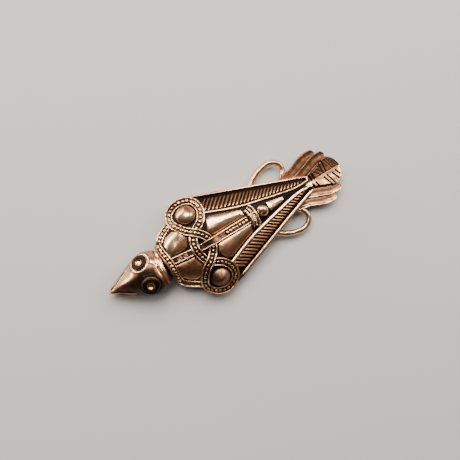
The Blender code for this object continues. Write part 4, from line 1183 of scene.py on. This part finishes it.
def metal(name, deep, middle, bright, polish, dull, grain, bump):
    """A worn metal: patina in the recesses, warm bronze on plain stretches, bright high spots, with
    painted shade and highlights carried in the same attribute.

    polish and dull are the roughness of bare metal and of patina.
    """
    if name in bpy.data.materials:
        return bpy.data.materials[name]
    material = bpy.data.materials.new(name)
    material.use_nodes = True
    tree = material.node_tree
    wear = add_node(tree, "Attribute", {}, attribute_name="wear")["Fac"]
    worn = add_node(tree, "Group", {"Wear": wear, "Raggedness": RAGGEDNESS, "Grain": grain},
                    node_tree=wear_and_shading_group())
    ramp = tree.nodes.new("ShaderNodeValToRGB")
    ramp.color_ramp.elements[0].color = (*deep, 1.0)
    ramp.color_ramp.elements[1].color = (*bright, 1.0)
    ramp.color_ramp.elements.new(MIDDLE_STOP).color = (*middle, 1.0)
    feed(tree, ramp, {"Fac": worn["Bare"]})
    metallic = add_node(tree, "MapRange", {"Value": worn["Bare"],
                                           "To Min": LEAST_METALLIC})["Result"]
    gloss = add_node(tree, "MapRange", {"Value": worn["Bare"], "To Min": dull,
                                        "To Max": polish})["Result"]
    smear = add_math(tree, "SUBTRACT", worn["Mottle"], 0.5)
    smear = add_math(tree, "MULTIPLY", smear, GLOSS_SPREAD)
    normal = add_node(tree, "Bump", {"Height": worn["Height"], "Strength": bump,
                                     "Distance": BUMP_DEPTH})["Normal"]
    feed(tree, tree.nodes["Principled BSDF"], {
        "Base Color": ramp.outputs["Color"], "Metallic": metallic, "Specular IOR Level": SPECULAR,
        "Roughness": add_math(tree, "ADD", gloss, smear, clamp=True), "Normal": normal})
    return material


def antiqued_bronze(finish):
    """The casting: dark patina in the relief, coppery bronze where hands have polished it, and
    painted shade and highlights on one side of some parts.
    """
    return metal("worn_bronze", finish.patina, finish.bronze, finish.highlight, finish.polish,
                 dull=0.44, grain=1.2, bump=0.5)


def bronze_wire(finish):
    """Pin and rivet: drawn bronze, less patinated and evenly burnished."""
    return metal("burnished_wire", finish.patina, finish.wire, finish.highlight, 0.24,
                 dull=0.42, grain=0.3, bump=0.2)


METALS = {"antiqued_bronze": antiqued_bronze, "bronze_wire": bronze_wire}


def floor_paint(finish):
    """Plain pale matt paint."""
    material = bpy.data.materials.new("pale_floor")
    material.use_nodes = True
    tree = material.node_tree
    feed(tree, tree.nodes["Principled BSDF"],
         {"Base Color": (*finish.floor, 1.0), "Roughness": 0.85})
    return material


# ---- settings ----
def length_setting(name, description, default):
    """A length in metres that shows enough digits for jewellery."""
    return bpy.props.FloatProperty(name=name, description=description, default=default,
                                   min=0.0001, unit="LENGTH", precision=5)


def colour_setting(name, description, default):
    """A linear colour."""
    return bpy.props.FloatVectorProperty(name=name, description=description, default=default,
                                         size=3, subtype="COLOR", min=0.0, max=1.0)


def angle_setting(name, description, degrees):
    """An angle, whose default is given in degrees."""
    return bpy.props.FloatProperty(name=name, description=description,
                                   default=math.radians(degrees), subtype="ANGLE")


def strength_setting(name, description, default):
    """A strength, which can't be negative."""
    return bpy.props.FloatProperty(name=name, description=description, default=default, min=0.0)


class BROOCH_PG_sizes(bpy.types.PropertyGroup):
    """Sizes of the ornament"""

    band_width: length_setting("Band width", "Width of the knot's band", 0.0024)
    band_height: length_setting("Band height", "How far a band's rims stand off the back", 0.00095)
    pellet_size: length_setting("Pellet size", "Diameter of the pellets in a band", 0.00094)
    pellet_pitch: length_setting("Pellet pitch", "Distance from one pellet to the next", 0.00112)
    boss_radius: length_setting("Boss radius", "Radius of a shoulder boss", 0.0029)
    boss_rise: length_setting("Boss rise", "Height of a shoulder boss off the back", 0.0019)
    barb_count: bpy.props.IntProperty(name="Barbs", description="Number of barbs on a wing",
                                      default=28, min=4)
    barb_rise: length_setting("Barb rise", "Height of a barb off the back", 0.0005)
    wing_rim: length_setting("Wing rim", "Width of the rim round a wing", 0.0008)
    eye_radius: length_setting("Eye radius", "Radius of the ring round an eye", 0.0026)
    loop_wire: length_setting("Loop rod", "Diameter of the side loops' rod", 0.0016)
    pin_wire: length_setting("Pin wire", "Diameter of the pin", 0.0012)
    rivet_radius: length_setting("Rivet radius", "Radius of the hinge rivet's shank", 0.00055)


class BROOCH_PG_finish(bpy.types.PropertyGroup):
    """Colours and gloss of the metal and the floor"""

    patina: colour_setting("Patina", "Darkened metal in the recesses", (0.011, 0.0065, 0.0045))
    bronze: colour_setting("Bronze", "Coppery metal on plain stretches", (0.44, 0.205, 0.105))
    highlight: colour_setting("Highlight", "Polished metal on high spots", (0.93, 0.62, 0.36))
    wire: colour_setting("Wire", "Metal of the pin and rivet", (0.50, 0.28, 0.16))
    floor: colour_setting("Floor", "The floor under the brooch", (0.58, 0.57, 0.56))
    polish: bpy.props.FloatProperty(name="Polish", description="Roughness of polished metal",
                                    default=0.2, min=0.0, max=1.0, subtype="FACTOR")


class BROOCH_PG_stage(bpy.types.PropertyGroup):
    """Camera and light"""

    azimuth: angle_setting("Azimuth", "Compass direction the camera stands in, from +X", -31.0)
    elevation: angle_setting("Elevation", "Height of the camera above the horizon", 83.3)
    roll: angle_setting("Roll", "Turn of the picture against the bird's length", 150.0)
    distance: length_setting("Distance", "From the camera to the point it looks at", 0.1812)
    key: strength_setting("Key light", "Power of the overhead light in watts", 4.4)
    side: strength_setting("Side light", "Power of the low side light in watts", 2.4)
    rear: strength_setting("Rear light", "Power of the light behind the tail in watts", 1.4)
    sky: strength_setting("Sky", "Strength of the light all round", 0.16)


# ---- operators ----
class BROOCH_OT_body(bpy.types.Operator):
    """Hollow arched back and neck"""

    bl_idname = "brooch.body"
    bl_label = "Body"

    def execute(self, context):
        shells = [body_shell(), ellipsoid((NECK_X + 0.6, 0.0, 3.9), (4.6, 4.6, 3.2), RECESS + 0.05)]
        make_casting("body", shells)
        return {"FINISHED"}


class BROOCH_OT_knot(bpy.types.Operator):
    """Interlaced band round both shoulder bosses"""

    bl_idname = "brooch.knot"
    bl_label = "Knot"

    def execute(self, context):
        make_casting("knot", knot_shells(context.scene.brooch_sizes))
        return {"FINISHED"}


class BROOCH_OT_straps(bpy.types.Operator):
    """Collar, side bands, midline strap, crossband and knob"""

    bl_idname = "brooch.straps"
    bl_label = "Straps"

    def execute(self, context):
        make_casting("straps", strap_shells(context.scene.brooch_sizes) + [knob_shell()])
        return {"FINISHED"}


class BROOCH_OT_panels(bpy.types.Operator):
    """Cushioned panels of the back and the shoulder bosses"""

    bl_idname = "brooch.panels"
    bl_label = "Panels and bosses"

    def execute(self, context):
        sizes = context.scene.brooch_sizes
        bosses = [boss_shell(side, sizes) for side in (1, -1)]
        make_casting("panels_and_bosses", [panel_shell(*panel) for panel in PANELS] + bosses)
        return {"FINISHED"}


class BROOCH_OT_wings(bpy.types.Operator):
    """Barbed field and rim of each wing"""

    bl_idname = "brooch.wings"
    bl_label = "Wings"

    def execute(self, context):
        sizes = context.scene.brooch_sizes
        shells = [make(side, sizes) for side in (1, -1) for make in (wing_field, wing_rim)]
        make_casting("wings", shells)
        return {"FINISHED"}


class BROOCH_OT_head(bpy.types.Operator):
    """Head and beak with ringed eyes"""

    bl_idname = "brooch.head"
    bl_label = "Head"

    def execute(self, context):
        make_casting("head", [head_shell(context.scene.brooch_sizes)])
        return {"FINISHED"}


class BROOCH_OT_tail(bpy.types.Operator):
    """Fan of five feathers"""

    bl_idname = "brooch.tail"
    bl_label = "Tail"

    def execute(self, context):
        make_casting("tail", tail_shells())
        return {"FINISHED"}


class BROOCH_OT_loops(bpy.types.Operator):
    """Bent rod on each side of the tail's root"""

    bl_idname = "brooch.loops"
    bl_label = "Side loops"

    def execute(self, context):
        make_casting("side_loops", loop_shells(context.scene.brooch_sizes))
        return {"FINISHED"}


class BROOCH_OT_fastening(bpy.types.Operator):
    """Hinge lugs and catch hook in the hollow back"""

    bl_idname = "brooch.fastening"
    bl_label = "Lugs and catch"

    def execute(self, context):
        shells = fastening_shells(context.scene.brooch_sizes)
        make_piece("lugs_and_catch", shells, "antiqued_bronze", "casting", ["bird_casting"])
        return {"FINISHED"}


class BROOCH_OT_pin(bpy.types.Operator):
    """Swinging pin and the rivet it turns on"""

    bl_idname = "brooch.pin"
    bl_label = "Pin and rivet"

    def execute(self, context):
        sizes = context.scene.brooch_sizes
        make_piece("dress_pin", pin_shells(sizes), "bronze_wire", "pin", ["pin"])
        make_piece("rivet", [rivet_shell(sizes)], "bronze_wire", "casting", ["hinge_rivet"])
        return {"FINISHED"}


def look_matrix(place, target, right):
    """The world matrix, column by column, of a lamp or camera at place that looks at target."""
    back = unit(place - target)
    right = unit(right - back * (right @ back))
    columns = np.column_stack([right, np.cross(back, right), back, place])
    return np.vstack([columns, (0.0, 0.0, 0.0, 1.0)]).T.tolist()


def add_softbox(name, place, target, size, power, colour):
    """A rectangular area light that looks at target."""
    light = bpy.data.lights.new(name, "AREA")
    light.shape = "RECTANGLE"
    light.size, light.size_y = size
    light.energy = power
    light.color = colour
    obj = bpy.data.objects.new(name, light)
    obj.matrix_world = look_matrix(place, target, np.array([1.0, 0.0, 0.0]))
    bpy.context.scene.collection.objects.link(obj)


def studio_world(strength):
    """A sky that dims towards the bird's left front, as a dark studio wall would."""
    world = bpy.data.worlds.new("studio")
    world.use_nodes = True
    tree = world.node_tree
    where = add_node(tree, "TexCoord", {})["Generated"]
    toward = add_node(tree, "VectorMath", {0: where, 1: (-0.55, -0.6, 0.58)},
                      operation="DOT_PRODUCT")["Value"]
    shade = add_node(tree, "MapRange", {"Value": toward, "From Min": -0.1, "From Max": 0.9,
                                        "To Min": 0.15 * strength, "To Max": 1.5 * strength},
                     interpolation_type="SMOOTHSTEP")["Result"]
    feed(tree, tree.nodes["Background"], {"Color": (1.0, 0.96, 0.92, 1.0), "Strength": shade})
    return world


class BROOCH_OT_stage(bpy.types.Operator):
    """Floor, lights and camera"""

    bl_idname = "brooch.stage"
    bl_label = "Stage"

    def execute(self, context):
        scene = context.scene
        stage = scene.brooch_stage
        middle = np.mean(CAD_BOX, axis=0) * (1.0, 1.0, 0.0)
        target = middle + np.array(VIEW_OFFSET) * MM

        corners = np.array([(-1, -1, 0), (1, -1, 0), (1, 1, 0), (-1, 1, 0)]) * FLOOR_HALF
        mesh = bpy.data.meshes.new("floor")
        mesh.from_pydata(corners.tolist(), [], [(0, 1, 2, 3)])
        mesh.materials.append(floor_paint(scene.brooch_finish))
        floor = bpy.data.objects.new("floor", mesh)
        scene.collection.objects.link(floor)

        level = math.cos(stage.elevation)
        back = np.array([level * math.cos(stage.azimuth), level * math.sin(stage.azimuth),
                         math.sin(stage.elevation)])
        ahead = unit(np.array([1.0, 0.0, 0.0]) - back * back[0])
        right = math.cos(stage.roll) * ahead + math.sin(stage.roll) * np.cross(back, ahead)
        lens = bpy.data.cameras.new("camera")
        lens.lens, lens.sensor_width, lens.clip_start = LENS, SENSOR_WIDTH, CLIP_START
        camera = bpy.data.objects.new("camera", lens)
        camera.matrix_world = look_matrix(target + back * stage.distance, target, right)
        scene.collection.objects.link(camera)
        scene.camera = camera

        for name, way, size, colour in LIGHTS:
            place = target + LIGHT_DISTANCE * unit(np.array(way))
            add_softbox(name, place, target, size, getattr(stage, name), colour)
        scene.world = studio_world(stage.sky)
        return {"FINISHED"}


class BROOCH_PT_panel(bpy.types.Panel):
    """Brooch tools"""

    bl_idname = "BROOCH_PT_panel"
    bl_label = "Bird brooch"
    bl_space_type = "VIEW_3D"
    bl_region_type = "UI"
    bl_category = "Brooch"

    def draw(self, context):
        for operator in OPERATORS:
            self.layout.operator(operator.bl_idname)
        scene = context.scene
        for group in (scene.brooch_sizes, scene.brooch_finish, scene.brooch_stage):
            box = self.layout.box()
            for name in group.__annotations__:
                box.prop(group, name)


OPERATORS = (BROOCH_OT_body, BROOCH_OT_knot, BROOCH_OT_straps, BROOCH_OT_panels, BROOCH_OT_wings,
             BROOCH_OT_head, BROOCH_OT_tail, BROOCH_OT_loops, BROOCH_OT_fastening, BROOCH_OT_pin,
             BROOCH_OT_stage)
GROUPS = (BROOCH_PG_sizes, BROOCH_PG_finish, BROOCH_PG_stage)


def register():
    """Adds the classes, and the settings to every scene."""
    for item in GROUPS + OPERATORS + (BROOCH_PT_panel,):
        bpy.utils.register_class(item)
    bpy.types.Scene.brooch_sizes = bpy.props.PointerProperty(type=BROOCH_PG_sizes)
    bpy.types.Scene.brooch_finish = bpy.props.PointerProperty(type=BROOCH_PG_finish)
    bpy.types.Scene.brooch_stage = bpy.props.PointerProperty(type=BROOCH_PG_stage)


def unregister():
    """Takes the settings and the classes away again."""
    del bpy.types.Scene.brooch_sizes, bpy.types.Scene.brooch_finish, bpy.types.Scene.brooch_stage
    for item in (BROOCH_PT_panel,) + OPERATORS[::-1] + GROUPS[::-1]:
        bpy.utils.unregister_class(item)


def main():
    """Builds the brooch and its stage."""
    register()
    bpy.ops.brooch.body()
    bpy.ops.brooch.knot()
    bpy.ops.brooch.straps()
    bpy.ops.brooch.panels()
    bpy.ops.brooch.wings()
    bpy.ops.brooch.head()
    bpy.ops.brooch.tail()
    bpy.ops.brooch.loops()
    bpy.ops.brooch.fastening()
    bpy.ops.brooch.pin()
    bpy.ops.brooch.stage()


if __name__ == "__main__":
    main()
